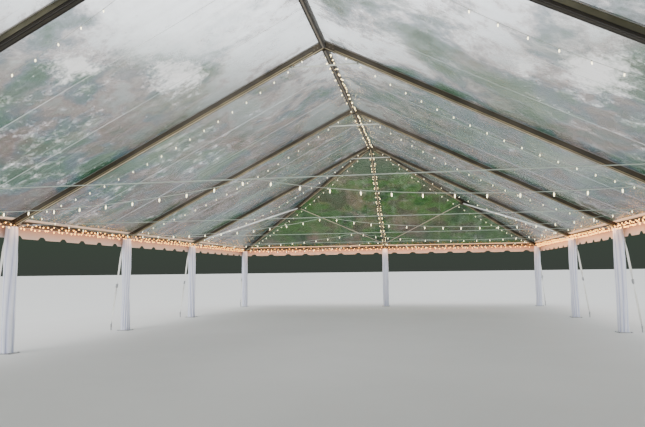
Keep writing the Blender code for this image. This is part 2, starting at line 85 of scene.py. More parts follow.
# Route of a light string: across the hall, off its main frame and above the floor
STRING_POINTS = [
    (-5.700, 0.0555, 2.640), (-5.700, 0.068, 2.640), (-5.697, 0.082, 2.639), (-5.680, 0.091, 2.630),
    (-5.600, 0.091, 2.588), (-5.400, 0.088, 2.502), (-5.000, 0.082, 2.385), (-4.500, 0.075, 2.280),
    (-4.000, 0.068, 2.210), (-3.500, 0.061, 2.170), (-3.000, 0.054, 2.153), (-2.500, 0.047, 2.155),
    (-2.000, 0.040, 2.172), (-1.500, 0.033, 2.205), (-1.000, 0.026, 2.253), (-0.500, 0.018, 2.318),
    (-0.250, 0.0145, 2.362), (-0.080, 0.0118, 2.396), (0.000, 0.0113, 2.4042), (0.080, 0.0118, 2.396),
    (0.250, 0.0145, 2.360), (0.500, 0.018, 2.320), (1.000, 0.026, 2.262), (1.500, 0.033, 2.222),
    (2.000, 0.040, 2.198), (2.500, 0.047, 2.187), (3.000, 0.054, 2.186), (3.500, 0.061, 2.200),
    (4.000, 0.068, 2.234), (4.500, 0.075, 2.298), (5.000, 0.082, 2.396), (5.400, 0.088, 2.508),
    (5.600, 0.091, 2.590), (5.680, 0.091, 2.630), (5.697, 0.082, 2.639), (5.700, 0.068, 2.640),
    (5.700, 0.0555, 2.640),
]


def line_height(across):
    """Height of the rafters' centre line at a distance from the ridge."""
    return EAVE_HEIGHT + (HALF_WIDTH - across) * TAN


def sheet_under(across):
    """Height of the sheets' lower face at a distance from the ridge."""
    return line_height(across) + (SHEET_RISE - SHEET_HALF) / COS


BEAM_TOP = sheet_under(BEAM_X + BEAM_WIDTH / 2) - GAP
BEAM_BOTTOM = BEAM_TOP - BEAM_DEPTH
VALANCE_TOP = sheet_under(HALF_WIDTH + VALANCE_OUT + 0.0045) - GAP
VALANCE_LOW = VALANCE_TOP - VALANCE_DEPTH
HALF_VERTICAL = RAFTER_DEPTH / 2 / COS


def new_object(name, data):
    made = bpy.data.objects.new(name, data)
    bpy.context.scene.collection.objects.link(made)
    return made


def place_camera():
    """Stand the camera where the photograph was taken, with its lens."""
    yaw, pitch, roll = (math.radians(a) for a in (CAMERA_YAW, CAMERA_PITCH, CAMERA_ROLL))
    forward = Vector((-math.sin(yaw) * math.cos(pitch), math.cos(yaw) * math.cos(pitch), math.sin(pitch)))
    level = Vector((math.cos(yaw), math.sin(yaw), 0))
    upright = level.cross(forward)
    right = math.cos(roll) * level + math.sin(roll) * upright
    up = -math.sin(roll) * level + math.cos(roll) * upright
    data = bpy.data.cameras.new("camera")
    data.lens = SENSOR * FOCAL_PIXELS / IMAGE_WIDTH
    data.sensor_width = SENSOR
    data.sensor_fit = "HORIZONTAL"
    camera = new_object("camera", data)
    place = Matrix((right, up, -forward)).transposed().to_4x4()
    place.translation = Vector(CAMERA_PLACE)
    camera.matrix_world = place
    bpy.context.scene.camera = camera


place_camera()


def ride(piece, replaces=()):
    """Set a finished piece on the one body and hide the nodes that it stands for."""
    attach(piece, "root")
    if replaces:
        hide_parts(*replaces)
    return piece


# Meshes

def unit(vector):
    vector = np.asarray(vector, float)
    return vector / np.linalg.norm(vector)


def lengths_along(points):
    """How far each point of a line lies from its start, along the line."""
    steps = np.linalg.norm(np.diff(points, axis=0), axis=1)
    return np.concatenate([[0.0], np.cumsum(steps)])


def directions_along(path):
    tangents = np.gradient(path, axis=0)
    return tangents / np.linalg.norm(tangents, axis=1)[:, None]


def square_to(axis):
    """A direction square to an axis."""
    return unit(np.cross(axis, Z if abs(axis[2]) < 0.9 else X))


def circle(sides, across, other):
    """Places round a circle of radius 1 between two directions."""
    turns = np.arange(sides) * 2 * math.pi / sides
    return np.outer(np.cos(turns), across) + np.outer(np.sin(turns), other)


def signed_volume(points, faces):
    """Six times the volume that the faces enclose, negative where they point inwards."""
    groups = {}
    for face in faces:
        groups.setdefault(len(face), []).append(face)
    total = 0.0
    for size, group in groups.items():
        corners = points[np.array(group)]
        for k in range(1, size - 1):
            total += np.einsum("ij,ij->", corners[:, 0], np.cross(corners[:, k], corners[:, k + 1]))
    return total


class Shape:
    """Closed solids gathered into one mesh, each face with its finish and a UV in metres."""

    def __init__(self):
        self.points, self.faces, self.finish, self.uvs, self.depth = [], [], [], [], []
        self.count = 0

    def add(self, points, faces, finish, uvs, depth=None):
        """Add one closed solid and turn its faces outwards. depth is a value for each point."""
        points = np.asarray(points, float).reshape(-1, 3)
        if signed_volume(points - points.mean(axis=0), faces) < 0:
            faces = [list(reversed(face)) for face in faces]
            uvs = [list(reversed(corners)) for corners in uvs]
        self.points.append(points)
        self.faces.extend([[self.count + i for i in face] for face in faces])
        self.finish.extend(finish if isinstance(finish, list) else [finish] * len(faces))
        for corners in uvs:
            self.uvs.extend(corners)
        self.depth.append(np.zeros(len(points)) if depth is None else depth)
        self.count += len(points)

    def build(self, name, materials, smooth, attribute=None):
        """Make the object. smooth is the angle in degrees above which an edge stays sharp."""
        mesh = bpy.data.meshes.new(name)
        mesh.from_pydata(np.concatenate(self.points).tolist(), [], self.faces)
        for material in materials:
            mesh.materials.append(material)
        mesh.polygons.foreach_set("material_index", np.array(self.finish, np.int32))
        layer = mesh.uv_layers.new(name="UVMap")
        layer.data.foreach_set("uv", np.array(self.uvs, np.float32).ravel())
        if attribute:
            values = mesh.attributes.new(attribute, "FLOAT", "POINT")
            values.data.foreach_set("value", np.concatenate(self.depth).astype(np.float32))
        mesh.shade_smooth()
        mesh.set_sharp_from_angle(angle=math.radians(smooth))
        return new_object(name, mesh)

    def fit(self, name, materials, smooth, slot, replaces=()):
        """Make the object and set it on the body."""
        return ride(self.build(name, materials, smooth), replaces)


def skin(shape, rings, edge_finish=None):
    """Skin a row of equal rings into a closed solid with flat ends."""
    rings = np.asarray(rings, float)
    rows, count = rings.shape[:2]
    along = lengths_along(rings.mean(axis=1))
    around = lengths_along(np.vstack([rings[0], rings[0][:1]]))
    faces, uvs, finishes = [], [], []
    for i in range(rows - 1):
        for j in range(count):
            k = (j + 1) % count
            faces.append([i * count + j, i * count + k, (i + 1) * count + k, (i + 1) * count + j])
            low, high = around[j], around[j + 1]
            uvs.append([(along[i], low), (along[i], high), (along[i + 1], high), (along[i + 1], low)])
            finishes.append(edge_finish[j] if edge_finish else 0)
    for i in (0, rows - 1):
        order = list(range(count)) if i else list(range(count))[::-1]
        faces.append([i * count + j for j in order])
        uvs.append([(along[i], around[j]) for j in order])
        finishes.append(0)
    shape.add(rings, faces, finishes, uvs)


def member(shape, section, origin, along, up, start, stop):
    """A straight bar of a section, cut by a start and a stop plane, each a point and a normal."""
    outline, edge_finish = section
    origin, along, up = np.asarray(origin, float), unit(along), unit(up)
    side = np.cross(along, up)
    base = origin + np.outer([w for w, _ in outline], side) + np.outer([h for _, h in outline], up)
    rings = []
    for point, normal in (start, stop):
        point, normal = np.asarray(point, float), unit(normal)
        reach = ((point - base) @ normal) / (along @ normal)
        rings.append(base + np.outer(reach, along))
    skin(shape, rings, edge_finish)


def tube(shape, path, radius, sides=10):
    """A round bar along a path."""
    path = np.asarray(path, float)
    tangents = directions_along(path)
    across = square_to(tangents[0])
    rings = []
    for point, tangent in zip(path, tangents):
        across = unit(across - tangent * (across @ tangent))
        rings.append(point + radius * circle(sides, across, np.cross(tangent, across)))
    skin(shape, rings)


def lathe(shape, origin, axis, profile, sides=16):
    """A turned solid: profile is rows of (distance along the axis, radius)."""
    origin, axis = np.asarray(origin, float), unit(axis)
    across = square_to(axis)
    around = circle(sides, across, np.cross(axis, across))
    skin(shape, [origin + axis * d + around * r for d, r in profile])


def slab(shape, outline, thickness, origin, right, up, bevel=0.0015):
    """A flat plate: outline in (right, up), centred on its plane, with its rims chamfered."""
    outline = np.asarray(outline, float)
    origin, right, up = np.asarray(origin, float), unit(right), unit(up)
    normal = np.cross(right, up)
    wide, high = outline[:, 0], outline[:, 1]
    area = 0.5 * np.sum(wide * np.roll(high, -1) - np.roll(wide, -1) * high)
    before = np.roll(outline, 1, axis=0) - outline
    after = np.roll(outline, -1, axis=0) - outline
    before /= np.linalg.norm(before, axis=1)[:, None]
    after /= np.linalg.norm(after, axis=1)[:, None]
    turn = np.sign(area) * np.column_stack((-after[:, 1] + before[:, 1], after[:, 0] - before[:, 0]))
    inner = outline + turn / np.maximum(np.linalg.norm(turn, axis=1), 1e-6)[:, None] * bevel
    half = thickness / 2
    rings = []
    for flat, height in ((inner, -half), (outline, -half + bevel), (outline, half - bevel), (inner, half)):
        rings.append(origin + np.outer(flat[:, 0], right) + np.outer(flat[:, 1], up) + normal * height)
    skin(shape, rings)


def arc(across, high, radius, start, stop, steps=3):
    """Points of an arc round a centre, between two angles in degrees."""
    turns = [math.radians(start + (stop - start) * k / steps) for k in range(steps + 1)]
    return [(across + radius * math.cos(t), high + radius * math.sin(t)) for t in turns]


def rounded_box(width, height, radius, steps=3, middle=(0.0, 0.0)):
    """Outline of a rectangle with round corners."""
    points = []
    for sx, sy, start in ((1, 1, 0), (-1, 1, 90), (-1, -1, 180), (1, -1, 270)):
        across, high = middle[0] + sx * (width / 2 - radius), middle[1] + sy * (height / 2 - radius)
        points += arc(across, high, radius, start, start + 90, steps)
    return points


def shell(shape, middle, normal, thickness, uv, finish=0):
    """A thin closed sheet over a grid of points, half its thickness to either side."""
    middle = np.asarray(middle, float)
    rows, columns = middle.shape[:2]
    offset = rows * columns
    half = np.broadcast_to(np.asarray(normal, float), middle.shape) * thickness / 2
    points = np.concatenate([(middle + half).reshape(-1, 3), (middle - half).reshape(-1, 3)])
    faces = []
    for i in range(rows - 1):
        for j in range(columns - 1):
            a, b = i * columns + j, i * columns + j + 1
            c, d = b + columns, a + columns
            faces.append([a, b, c, d])
            faces.append([offset + d, offset + c, offset + b, offset + a])
    rim = [(0, j) for j in range(columns)] + [(i, columns - 1) for i in range(1, rows)]
    rim += [(rows - 1, j) for j in range(columns - 2, -1, -1)] + [(i, 0) for i in range(rows - 2, 0, -1)]
    rim = [i * columns + j for i, j in rim]
    for a, b in zip(rim, rim[1:] + rim[:1]):
        faces.append([b, a, offset + a, offset + b])
    flat_uv = np.asarray(uv, float).reshape(-1, 2).tolist()
    shape.add(points, faces, finish, [[flat_uv[k % offset] for k in face] for face in faces])


# Materials

def add_node(tree, kind, inputs=None, **settings):
    """A node with its settings, and its sockets given as values or as another node's output."""
    made = tree.nodes.new(kind)
    for name, value in settings.items():
        setattr(made, name, value)
    for key, value in (inputs or {}).items():
        if isinstance(value, bpy.types.NodeSocket):
            tree.links.new(value, made.inputs[key])
        else:
            made.inputs[key].default_value = value
    return made


def shade(colour, factor):
    """A colour made darker or lighter."""
    return tuple(min(1.0, c * factor) for c in colour)


class Finish:
    """A material in the making: plain values set on the shader's own sockets, patterns made by nodes."""

    def __init__(self, name, **sockets):
        self.material = bpy.data.materials.new(name)
        self.material.use_nodes = True
        self.tree = self.material.node_tree
        self.shader = self.tree.nodes["Principled BSDF"]
        for socket, value in sockets.items():
            self.shader.inputs[socket.replace("_", " ")].default_value = value

    def feed(self, **outputs):
        """Lead nodes' outputs to the shader's sockets."""
        for socket, output in outputs.items():
            self.tree.links.new(output, self.shader.inputs[socket.replace("_", " ")])

    def node(self, kind, inputs=None, **settings):
        return add_node(self.tree, kind, inputs, **settings)

    def bare_place(self, source="Object"):
        return self.node("ShaderNodeTexCoord").outputs[source]

    def place(self, source="Object", scale=(1, 1, 1), turn=0.0, shift=(0, 0, 0)):
        """Coordinates on the piece, stretched, turned by degrees in their plane and shifted."""
        return self.node("ShaderNodeMapping", {
            "Vector": self.bare_place(source), "Scale": scale, "Rotation": (0, 0, math.radians(turn)),
            "Location": shift}).outputs[0]

    def part(self, vector, axis):
        return self.node("ShaderNodeSeparateXYZ", {"Vector": vector}).outputs[axis]

    def noise(self, scale, detail=4.0, roughness=0.55, distortion=0.0, place=None):
        return self.node("ShaderNodeTexNoise", {
            "Vector": self.place() if place is None else place, "Scale": scale, "Detail": detail,
            "Roughness": roughness, "Distortion": distortion}).outputs["Fac"]

    def bands(self, scale, direction="X", source="UV", turn=0.0):
        """Soft stripes across a direction."""
        return self.node("ShaderNodeTexWave", {"Vector": self.place(source, turn=turn), "Scale": scale},
                         bands_direction=direction).outputs["Fac"]

    def cells(self, scale, place=None):
        return self.node("ShaderNodeTexVoronoi", {
            "Vector": self.place() if place is None else place, "Scale": scale})

    def patch(self, centre, size):
        """A soft round patch on the object: 1 at its centre and 0 from its edge outwards."""
        shift = tuple(-c / w for c, w in zip(centre, size))
        moved = self.place(scale=tuple(1 / w for w in size), shift=shift)
        return self.node("ShaderNodeTexGradient", {"Vector": moved}, gradient_type="SPHERICAL").outputs["Fac"]

    def ramp(self, factor, *stops):
        """A colour ramp of (position, colour or grey)."""
        made = self.node("ShaderNodeValToRGB", {"Fac": factor})
        while len(made.color_ramp.elements) < len(stops):
            made.color_ramp.elements.new(0.5)
        for element, (position, colour) in zip(made.color_ramp.elements, stops):
            element.position = position
            element.color = (*(colour if isinstance(colour, tuple) else (colour,) * 3), 1.0)
        return made.outputs["Color"]

    def rise(self, factor, low, high, top=1.0):
        """0 up to low, then rising to top at high."""
        return self.ramp(factor, (low, 0.0), (high, top))

    def calc(self, operation, *values, clamp=False):
        return self.node("ShaderNodeMath", dict(enumerate(values)), operation=operation,
                         use_clamp=clamp).outputs[0]

    def scaled(self, value, factor, plus, clamp=False):
        return self.calc("MULTIPLY_ADD", value, factor, plus, clamp=clamp)

    def mix(self, factor, first, second, blend="MIX"):
        """A mix of two colours, each given as a colour or as an output."""
        first, second = ((*value, 1.0) if isinstance(value, tuple) else value for value in (first, second))
        return self.node("ShaderNodeMix", {0: factor, 6: first, 7: second}, data_type="RGBA",
                         blend_type=blend).outputs[2]

    def bump(self, height, strength, distance):
        made = self.node("ShaderNodeBump", {"Height": height, "Strength": strength, "Distance": distance})
        self.feed(Normal=made.outputs["Normal"])


def extruded_aluminium(name, colour, metallic=0.55, roughness=0.42):
    """Drawn section: lines along its length, weather stains across them."""
    finish = Finish(name, Metallic=metallic)
    lines = finish.noise(1.0, 3.0, place=finish.place("UV", (2.0, 900.0, 1.0)))
    stains = finish.noise(2.3, 6.0, 0.6)
    specks = finish.noise(38.0, 3.0, 0.7)
    dark, light = shade(colour, 0.62), shade(colour, 1.22)
    base = finish.mix(finish.rise(stains, 0.35, 0.68), dark, light)
    base = finish.mix(finish.rise(specks, 0.62, 0.78, 0.55), base, shade(colour, 0.45))
    base = finish.mix(0.35, base, finish.mix(lines, dark, light), "MULTIPLY")
    finish.feed(Base_Color=base, Roughness=finish.scaled(stains, 0.25, roughness - 0.12))
    finish.bump(lines, 0.25, 0.0006)
    return finish.material


# Where water dried white on the sheets, and where a sheet stays clear: each spot's centre and half sizes
WATER_SPOTS = (((3.68, -5.50, 3.70), (0.68, 1.30, 0.68)), ((3.00, -4.85, 4.00), (0.38, 0.66, 0.38)),
               ((-2.05, -4.00, 4.50), (0.64, 1.20, 0.64)), ((-2.70, -5.70, 4.16), (0.46, 0.70, 0.46)))
CLEAR_SPOT = ((-1.3, -5.3, 4.9), (1.5, 2.2, 1.5))


def clear_vinyl(name, dirt, bloom, film_and_reflection_stops):
    """Clear sheet under films of algae, dust and damp mixed with painted reflections and shadows of trees,
    with mottled haze, dried drops, beads painted with glints and scratches painted as pale highlight lines.
    """
    finish = Finish(name, Metallic=0.0, Roughness=0.13, IOR=1.45, Coat_Weight=0.15, Coat_Roughness=0.05)
    place = finish.place()
    # The film is darker and more opaque near the eaves and on the right-hand slope
    thinner = finish.scaled(finish.part(place, "Z"), 0.044, -0.160)
    right_hand = finish.rise(finish.scaled(finish.part(place, "X"), 0.5, 0.5), 0.0, 1.0, 0.026)
    hues = finish.calc("ADD", finish.noise(0.80, 6.0, 0.66, 0.2, place), thinner)
    hues = finish.calc("SUBTRACT", hues, right_hand)
    # The film's colours are partly algae and damp and partly painted reflections and shadows of the trees
    film_and_reflection = finish.ramp(hues, *film_and_reflection_stops)
    # Algae and brown dust colour the film in places of their own
    algae = finish.noise(0.55, 5.0, 0.62, 0.4, place)
    film_and_reflection = finish.mix(finish.rise(algae, 0.50, 0.64, 0.60), film_and_reflection, (0.050, 0.120, 0.030))
    dust = finish.noise(0.62, 5.0, 0.62, 0.4, finish.place(scale=(1.0, 0.7, 1.6)))
    film_and_reflection = finish.mix(finish.rise(dust, 0.52, 0.66, 0.55), film_and_reflection, (0.300, 0.170, 0.140))
    # Haze: smears down the slope, mottles in wide patches, water spots, dried drops, beads painted white as
    # glints and scratches painted as pale highlight lines
    mottles = finish.noise(3.4, 12.0, 0.80, 0.0, place)
    wide = finish.rise(finish.noise(0.34, 2.0, 0.5, 0.2, place), 0.46, 0.60)
    mottled = finish.calc("MULTIPLY", finish.rise(mottles, 0.50, 0.68), wide)
    smears = finish.noise(1.0, 8.0, 0.68, 0.3, finish.place("UV", (4.6, 0.42, 1.0), -9))
    rubbed = finish.patch(*WATER_SPOTS[0])
    for spot in WATER_SPOTS[1:]:
        rubbed = finish.calc("ADD", rubbed, finish.patch(*spot))
    rubbed = finish.scaled(mottles, 2.6, finish.calc("SUBTRACT", rubbed, 1.5))
    drops = finish.rise(finish.noise(12.0, 4.0, 0.62, 0.0, finish.place("UV")), 0.60, 0.68)
    dotted = finish.calc("MULTIPLY", drops, finish.rise(mottles, 0.46, 0.56))
    cells = finish.cells(8.0, place)
    bead_size = finish.scaled(finish.part(cells.outputs["Color"], "X"), 0.26, -0.14)
    bead_glints = finish.calc("LESS_THAN", cells.outputs["Distance"], bead_size)
    scratch_highlights = finish.noise(1.0, 4.0, 0.6, 0.0, finish.place("UV", (34.0, 0.55, 1.0), 7))
    haze = finish.scaled(finish.rise(smears, 0.48, 0.70), 0.22, finish.calc("MULTIPLY", mottled, 0.70))
    haze = finish.scaled(finish.rise(rubbed, 0.05, 0.58), 1.0, haze)
    haze = finish.scaled(dotted, 0.30, haze)
    haze = finish.scaled(bead_glints, 0.55, haze)
    haze = finish.scaled(finish.rise(scratch_highlights, 0.60, 0.74), 0.14, haze, clamp=True)
    haze = finish.calc("MULTIPLY", haze, bloom)
    cover = finish.ramp(hues, (0.38, 0.70), (0.50, 0.46), (0.60, 0.12))
    wiped = finish.scaled(hues, 1.2, finish.calc("SUBTRACT", finish.patch(*CLEAR_SPOT), 0.60))
    wiped = finish.ramp(wiped, (0.15, 1.0), (0.50, 0.20))
    veil = finish.calc("MULTIPLY", finish.scaled(cover, dirt, 0.04), wiped)
    finish.feed(Base_Color=finish.mix(haze, film_and_reflection, (0.95, 0.96, 0.98)),
                Alpha=finish.scaled(haze, 0.50, veil, clamp=True))
    finish.bump(finish.scaled(smears, 2.0, mottles), 0.30, 0.02)
    return finish.material


def white_vinyl(name, warm, cool, low, high, alpha=1.0):
    """Coated cloth whose colour runs from cool at the low height to warm at the high one; the more orange
    tint, on the side nearer the eave lamps, is their painted glow.
    """
    finish = Finish(name, Roughness=0.42, Coat_Weight=0.12, Coat_Roughness=0.3, Alpha=alpha)
    height = finish.part(finish.bare_place(), "Z")
    share = finish.node("ShaderNodeMapRange", {"Value": height, "From Min": low, "From Max": high})
    stains = finish.noise(3.1, 6.0, 0.65)
    # Painted glow: the colour runs between the two heights, more orange on the side nearer the eave lamps
    base = finish.mix(share.outputs[0], cool, warm)
    finish.feed(Base_Color=finish.mix(finish.rise(stains, 0.40, 0.75, 0.35), base, shade(cool, 0.72)))
    scrim = finish.calc("ADD", finish.bands(70.0), finish.bands(70.0, "Y"))
    finish.bump(finish.calc("ADD", scrim, finish.calc("MULTIPLY", stains, 4.0)), 0.25, 0.0015)
    return finish.material


def cover_cloth():
    """Gathered polyester: bluish white with painted lavender shade in its folds, a fine weave and a soft
    sheen.
    """
    finish = Finish("cover_cloth", Roughness=0.82, Sheen_Weight=0.25, Sheen_Roughness=0.5)
    fold = finish.node("ShaderNodeAttribute", attribute_name="fold_depth").outputs["Fac"]
    # Painted shade: lavender in the fold valleys, whiter on the ridges, from the fold_depth attribute
    base = finish.ramp(fold, (0.0, (0.36, 0.38, 0.58)), (0.40, (0.66, 0.68, 0.86)), (1.0, (0.90, 0.92, 1.0)))
    dust = finish.noise(4.0, 5.0, 0.6)
    finish.feed(Base_Color=finish.mix(finish.rise(dust, 0.50, 0.85, 0.15), base, (0.66, 0.64, 0.64)))
    weave = finish.calc("MULTIPLY", finish.bands(190.0), finish.bands(190.0, "Y"))
    creases = finish.noise(16.0, 4.0, 0.6, place=finish.place(scale=(1.0, 1.0, 0.35)))
    finish.bump(finish.scaled(creases, 3.0, weave), 0.35, 0.002)
    return finish.material


def strap_webbing():
    """Woven strap: ribs across, a slanting twill and dirt."""
    finish = Finish("strap_webbing", Roughness=0.88, Sheen_Weight=0.15)
    twill = finish.bands(90.0, turn=38)
    dirt = finish.noise(9.0, 5.0, 0.65)
    base = finish.mix(twill, (0.74, 0.74, 0.68), (0.90, 0.90, 0.85))
    finish.feed(Base_Color=finish.mix(finish.rise(dirt, 0.50, 0.80, 0.4), base, (0.48, 0.46, 0.40)))
    finish.bump(finish.calc("ADD", finish.bands(130.0), twill), 0.5, 0.0012)
    return finish.material


def galvanised_steel(name="galvanised_steel", colour=(0.42, 0.43, 0.44), roughness=0.42):
    """Dipped steel with its zinc flowers and a little rust in the pits."""
    finish = Finish(name, Metallic=0.8)
    rust = finish.noise(30.0, 6.0, 0.7)
    base = finish.mix(finish.cells(90.0).outputs["Distance"], shade(colour, 0.8), shade(colour, 1.3))
    base = finish.mix(finish.rise(rust, 0.62, 0.80, 0.75), base, (0.16, 0.075, 0.03))
    finish.feed(Base_Color=base, Roughness=finish.scaled(rust, 0.35, roughness - 0.15))
    finish.bump(rust, 0.2, 0.0008)
    return finish.material


def twisted(name, bands, dark, light, relief, **sockets):
    """Strand or lead: bands wind round it. bands and relief are what those two methods take."""
    finish = Finish(name, **sockets)
    lay = finish.bands(**bands)
    finish.feed(Base_Color=finish.mix(lay, dark, light))
    finish.bump(lay, *relief)
    return finish.material


def enamel(name, colour):
    """Painted tube with chips and a slight orange peel."""
    finish = Finish(name, Coat_Weight=0.5, Coat_Roughness=0.12, Roughness=0.32)
    chips = finish.noise(21.0, 6.0, 0.7)
    grime = finish.noise(3.4, 5.0, 0.6)
    base = finish.mix(finish.rise(grime, 0.50, 0.80, 0.3), colour, shade(colour, 0.80))
    finish.feed(Base_Color=finish.mix(finish.rise(chips, 0.72, 0.76), base, (0.22, 0.21, 0.19)))
    finish.bump(finish.noise(160.0, 2.0), 0.12, 0.0006)
    return finish.material


def lamp_glass(name, colour, glow, strength):
    """A lit frosted lamp, slightly uneven."""
    finish = Finish(name, Roughness=0.25, Emission_Strength=strength)
    fine = finish.noise(55.0, 2.0)
    finish.feed(Base_Color=finish.mix(fine, colour, shade(colour, 1.15)),
                Emission_Color=finish.mix(fine, glow, shade(glow, 1.2)))
    finish.material.cycles.emission_sampling = "NONE"
    return finish.material


def lamp_socket():
    finish = Finish("lamp_socket", Roughness=0.45, Coat_Weight=0.2)
    grime = finish.noise(60.0, 3.0)
    finish.feed(Base_Color=finish.mix(grime, (0.30, 0.30, 0.26), (0.56, 0.56, 0.50)))
    finish.bump(grime, 0.2, 0.0005)
    return finish.material


# Lit and shaded copies of one aluminium, as painted light: the first frame's sides are painted lit and its
# undersides and lips painted shade; the other rafters' sides are painted shade and their undersides and lips
# painted lit, and the ridge beams' undersides are painted lit
PAINTED_LIT_NEAR_SIDE = extruded_aluminium("section_sunlit", (0.092, 0.084, 0.040), 0.15)
PAINTED_SHADE_NEAR_UNDER = extruded_aluminium("section_underside", (0.020, 0.015, 0.007), 0.0, 0.85)
PAINTED_SHADE_FAR_SIDE = extruded_aluminium("section_shaded", (0.072, 0.057, 0.035), 0.1, 0.55)
PAINTED_LIT_FAR_UNDER = extruded_aluminium("section_underlit", (0.470, 0.395, 0.240), 0.15)
PAINTED_LIT_FAR_LIP = extruded_aluminium("section_lip", (0.340, 0.285, 0.170), 0.15)
PAINTED_LIT_RIDGE_UNDER = extruded_aluminium("section_ridge", (0.150, 0.115, 0.072), 0.15)
# Painted shade: the sheet grooves and bolt slots are darkened to near black
PAINTED_SHADE_GROOVE = extruded_aluminium("section_groove", (0.018, 0.014, 0.009), 0.05, 0.7)
BEAM_BROWN = extruded_aluminium("section_eave", (0.100, 0.070, 0.048))
# Painted shade: a darker copy of the eave finish for the right-hand beam
PAINTED_SHADE_BEAM = extruded_aluminium("section_eave_shaded", (0.036, 0.022, 0.013), 0.1, 0.7)
# Film colours of the sheets: algae and damp together with painted reflections and shadows of trees
VINYL = clear_vinyl("clear_vinyl_sheet", 1.0, 1.0, (
    (0.36, (0.020, 0.090, 0.046)), (0.43, (0.040, 0.140, 0.094)), (0.50, (0.088, 0.145, 0.205)),
    (0.56, (0.330, 0.220, 0.220)), (0.64, (0.540, 0.560, 0.640))))
END_VINYL = clear_vinyl("clear_vinyl_end", 0.95, 0.30, (
    (0.34, (0.004, 0.026, 0.002)), (0.43, (0.016, 0.090, 0.008)), (0.50, (0.065, 0.180, 0.024)),
    (0.57, (0.090, 0.075, 0.035)), (0.68, (0.200, 0.270, 0.150))))
END_WELD = white_vinyl("welded_lap_end", (0.60, 0.68, 0.56), (0.60, 0.68, 0.56), 0.0, 1.0, 0.16)
WELD = white_vinyl("welded_lap", (0.90, 0.95, 0.95), (0.90, 0.95, 0.95), 0.0, 1.0, 0.42)
# Painted glow: in the hem, keder edge and valance cloths the more orange colour, on the side nearer the eave
# lamps, stands in for the lamps' light
HEM_VINYL = white_vinyl("hem_vinyl", (0.74, 0.70, 0.62), (0.86, 0.70, 0.55), 2.40, 2.62)
KEDER_EDGE = white_vinyl("keder_edge", (0.46, 0.47, 0.43), (0.52, 0.46, 0.38), 2.3, 3.2, 0.5)
VALANCE_WHITE = white_vinyl("valance_vinyl", (0.46, 0.20, 0.10), (0.59, 0.52, 0.49), VALANCE_LOW,
                            VALANCE_TOP)
VALANCE_BIND = white_vinyl("valance_binding", (0.54, 0.31, 0.20), (0.66, 0.57, 0.52), VALANCE_LOW,
                           VALANCE_TOP)
COVER = cover_cloth()
WEBBING = strap_webbing()
STEEL = galvanised_steel()
DARK_STEEL = galvanised_steel("crown_steel", (0.070, 0.058, 0.042), 0.55)
BOLT_STEEL = galvanised_steel("bolt_steel", (0.150, 0.135, 0.110), 0.5)
TIE_STEEL = galvanised_steel("tie_steel", (0.520, 0.540, 0.490), 0.45)
STRAND = twisted("wire_strand", {"scale": 60.0, "turn": 28}, (0.24, 0.28, 0.24), (0.48, 0.53, 0.47),
                 (0.6, 0.0012), Metallic=0.6, Roughness=0.38)
WHITE_TUBE = enamel("white_enamel", (1.0, 1.0, 0.98))
TAN_TUBE = enamel("tan_enamel", (0.42, 0.33, 0.26))
LEAD = twisted("lead_sleeve", {"scale": 40.0, "source": "Object", "turn": 35}, (0.26, 0.30, 0.25),
               (0.40, 0.44, 0.38), (0.3, 0.0008), Roughness=0.5, Coat_Weight=0.1)
LAMP = lamp_glass("lamp_glass", (0.95, 0.90, 0.75), (1.0, 0.80, 0.46), 5.0)
FAIRY = lamp_glass("fairy_glass", (0.95, 0.56, 0.20), (1.0, 0.40, 0.065), 8.0)
GOLD_FAIRY = lamp_glass("gold_fairy_glass", (0.95, 0.80, 0.50), (1.0, 0.70, 0.32), 7.0)
SOCKET = lamp_socket()


# Geometry Nodes: what repeats along a line or on a set of points

NUMBER, WHOLE, OBJECT, MATERIAL = "NodeSocketFloat", "NodeSocketInt", "NodeSocketObject", "NodeSocketMaterial"


def new_tree(name, **inputs):
    """An empty tree with a geometry in and out, and named inputs of (socket type, value)."""
    tree = bpy.data.node_groups.new(name, "GeometryNodeTree")
    tree.interface.new_socket("Geometry", in_out="INPUT", socket_type="NodeSocketGeometry")
    for label, (kind, value) in inputs.items():
        socket = tree.interface.new_socket(label.replace("_", " "), in_out="INPUT", socket_type=kind)
        if value is not None:
            socket.default_value = value
    tree.interface.new_socket("Geometry", in_out="OUTPUT", socket_type="NodeSocketGeometry")
    return tree, tree.nodes.new("NodeGroupInput").outputs, tree.nodes.new("NodeGroupOutput")


def times(tree, value, factor):
    return add_node(tree, "ShaderNodeMath", {0: value, 1: factor}, operation="MULTIPLY").outputs[0]


def spread(tree, reach, seed):
    """A random vector on each point, between minus and plus a reach."""
    return add_node(tree, "FunctionNodeRandomValue", {0: times(tree, reach, -1.0), 1: reach, "Seed": seed},
                    data_type="FLOAT_VECTOR").outputs[0]


def copies_on(tree, points, shape, turn, finish):
    """Real copies of a shape on points, turned and given their finish."""
    copies = add_node(tree, "GeometryNodeInstanceOnPoints", {
        "Points": points, "Instance": shape, "Rotation": turn})
    real = add_node(tree, "GeometryNodeRealizeInstances", {0: copies.outputs[0]})
    return add_node(tree, "GeometryNodeSetMaterial", {0: real.outputs[0], "Material": finish}).outputs[0]


def joined(tree, *shapes):
    join = add_node(tree, "GeometryNodeJoinGeometry")
    for shape in shapes:
        tree.links.new(shape, join.inputs[0])
    return join.outputs[0]


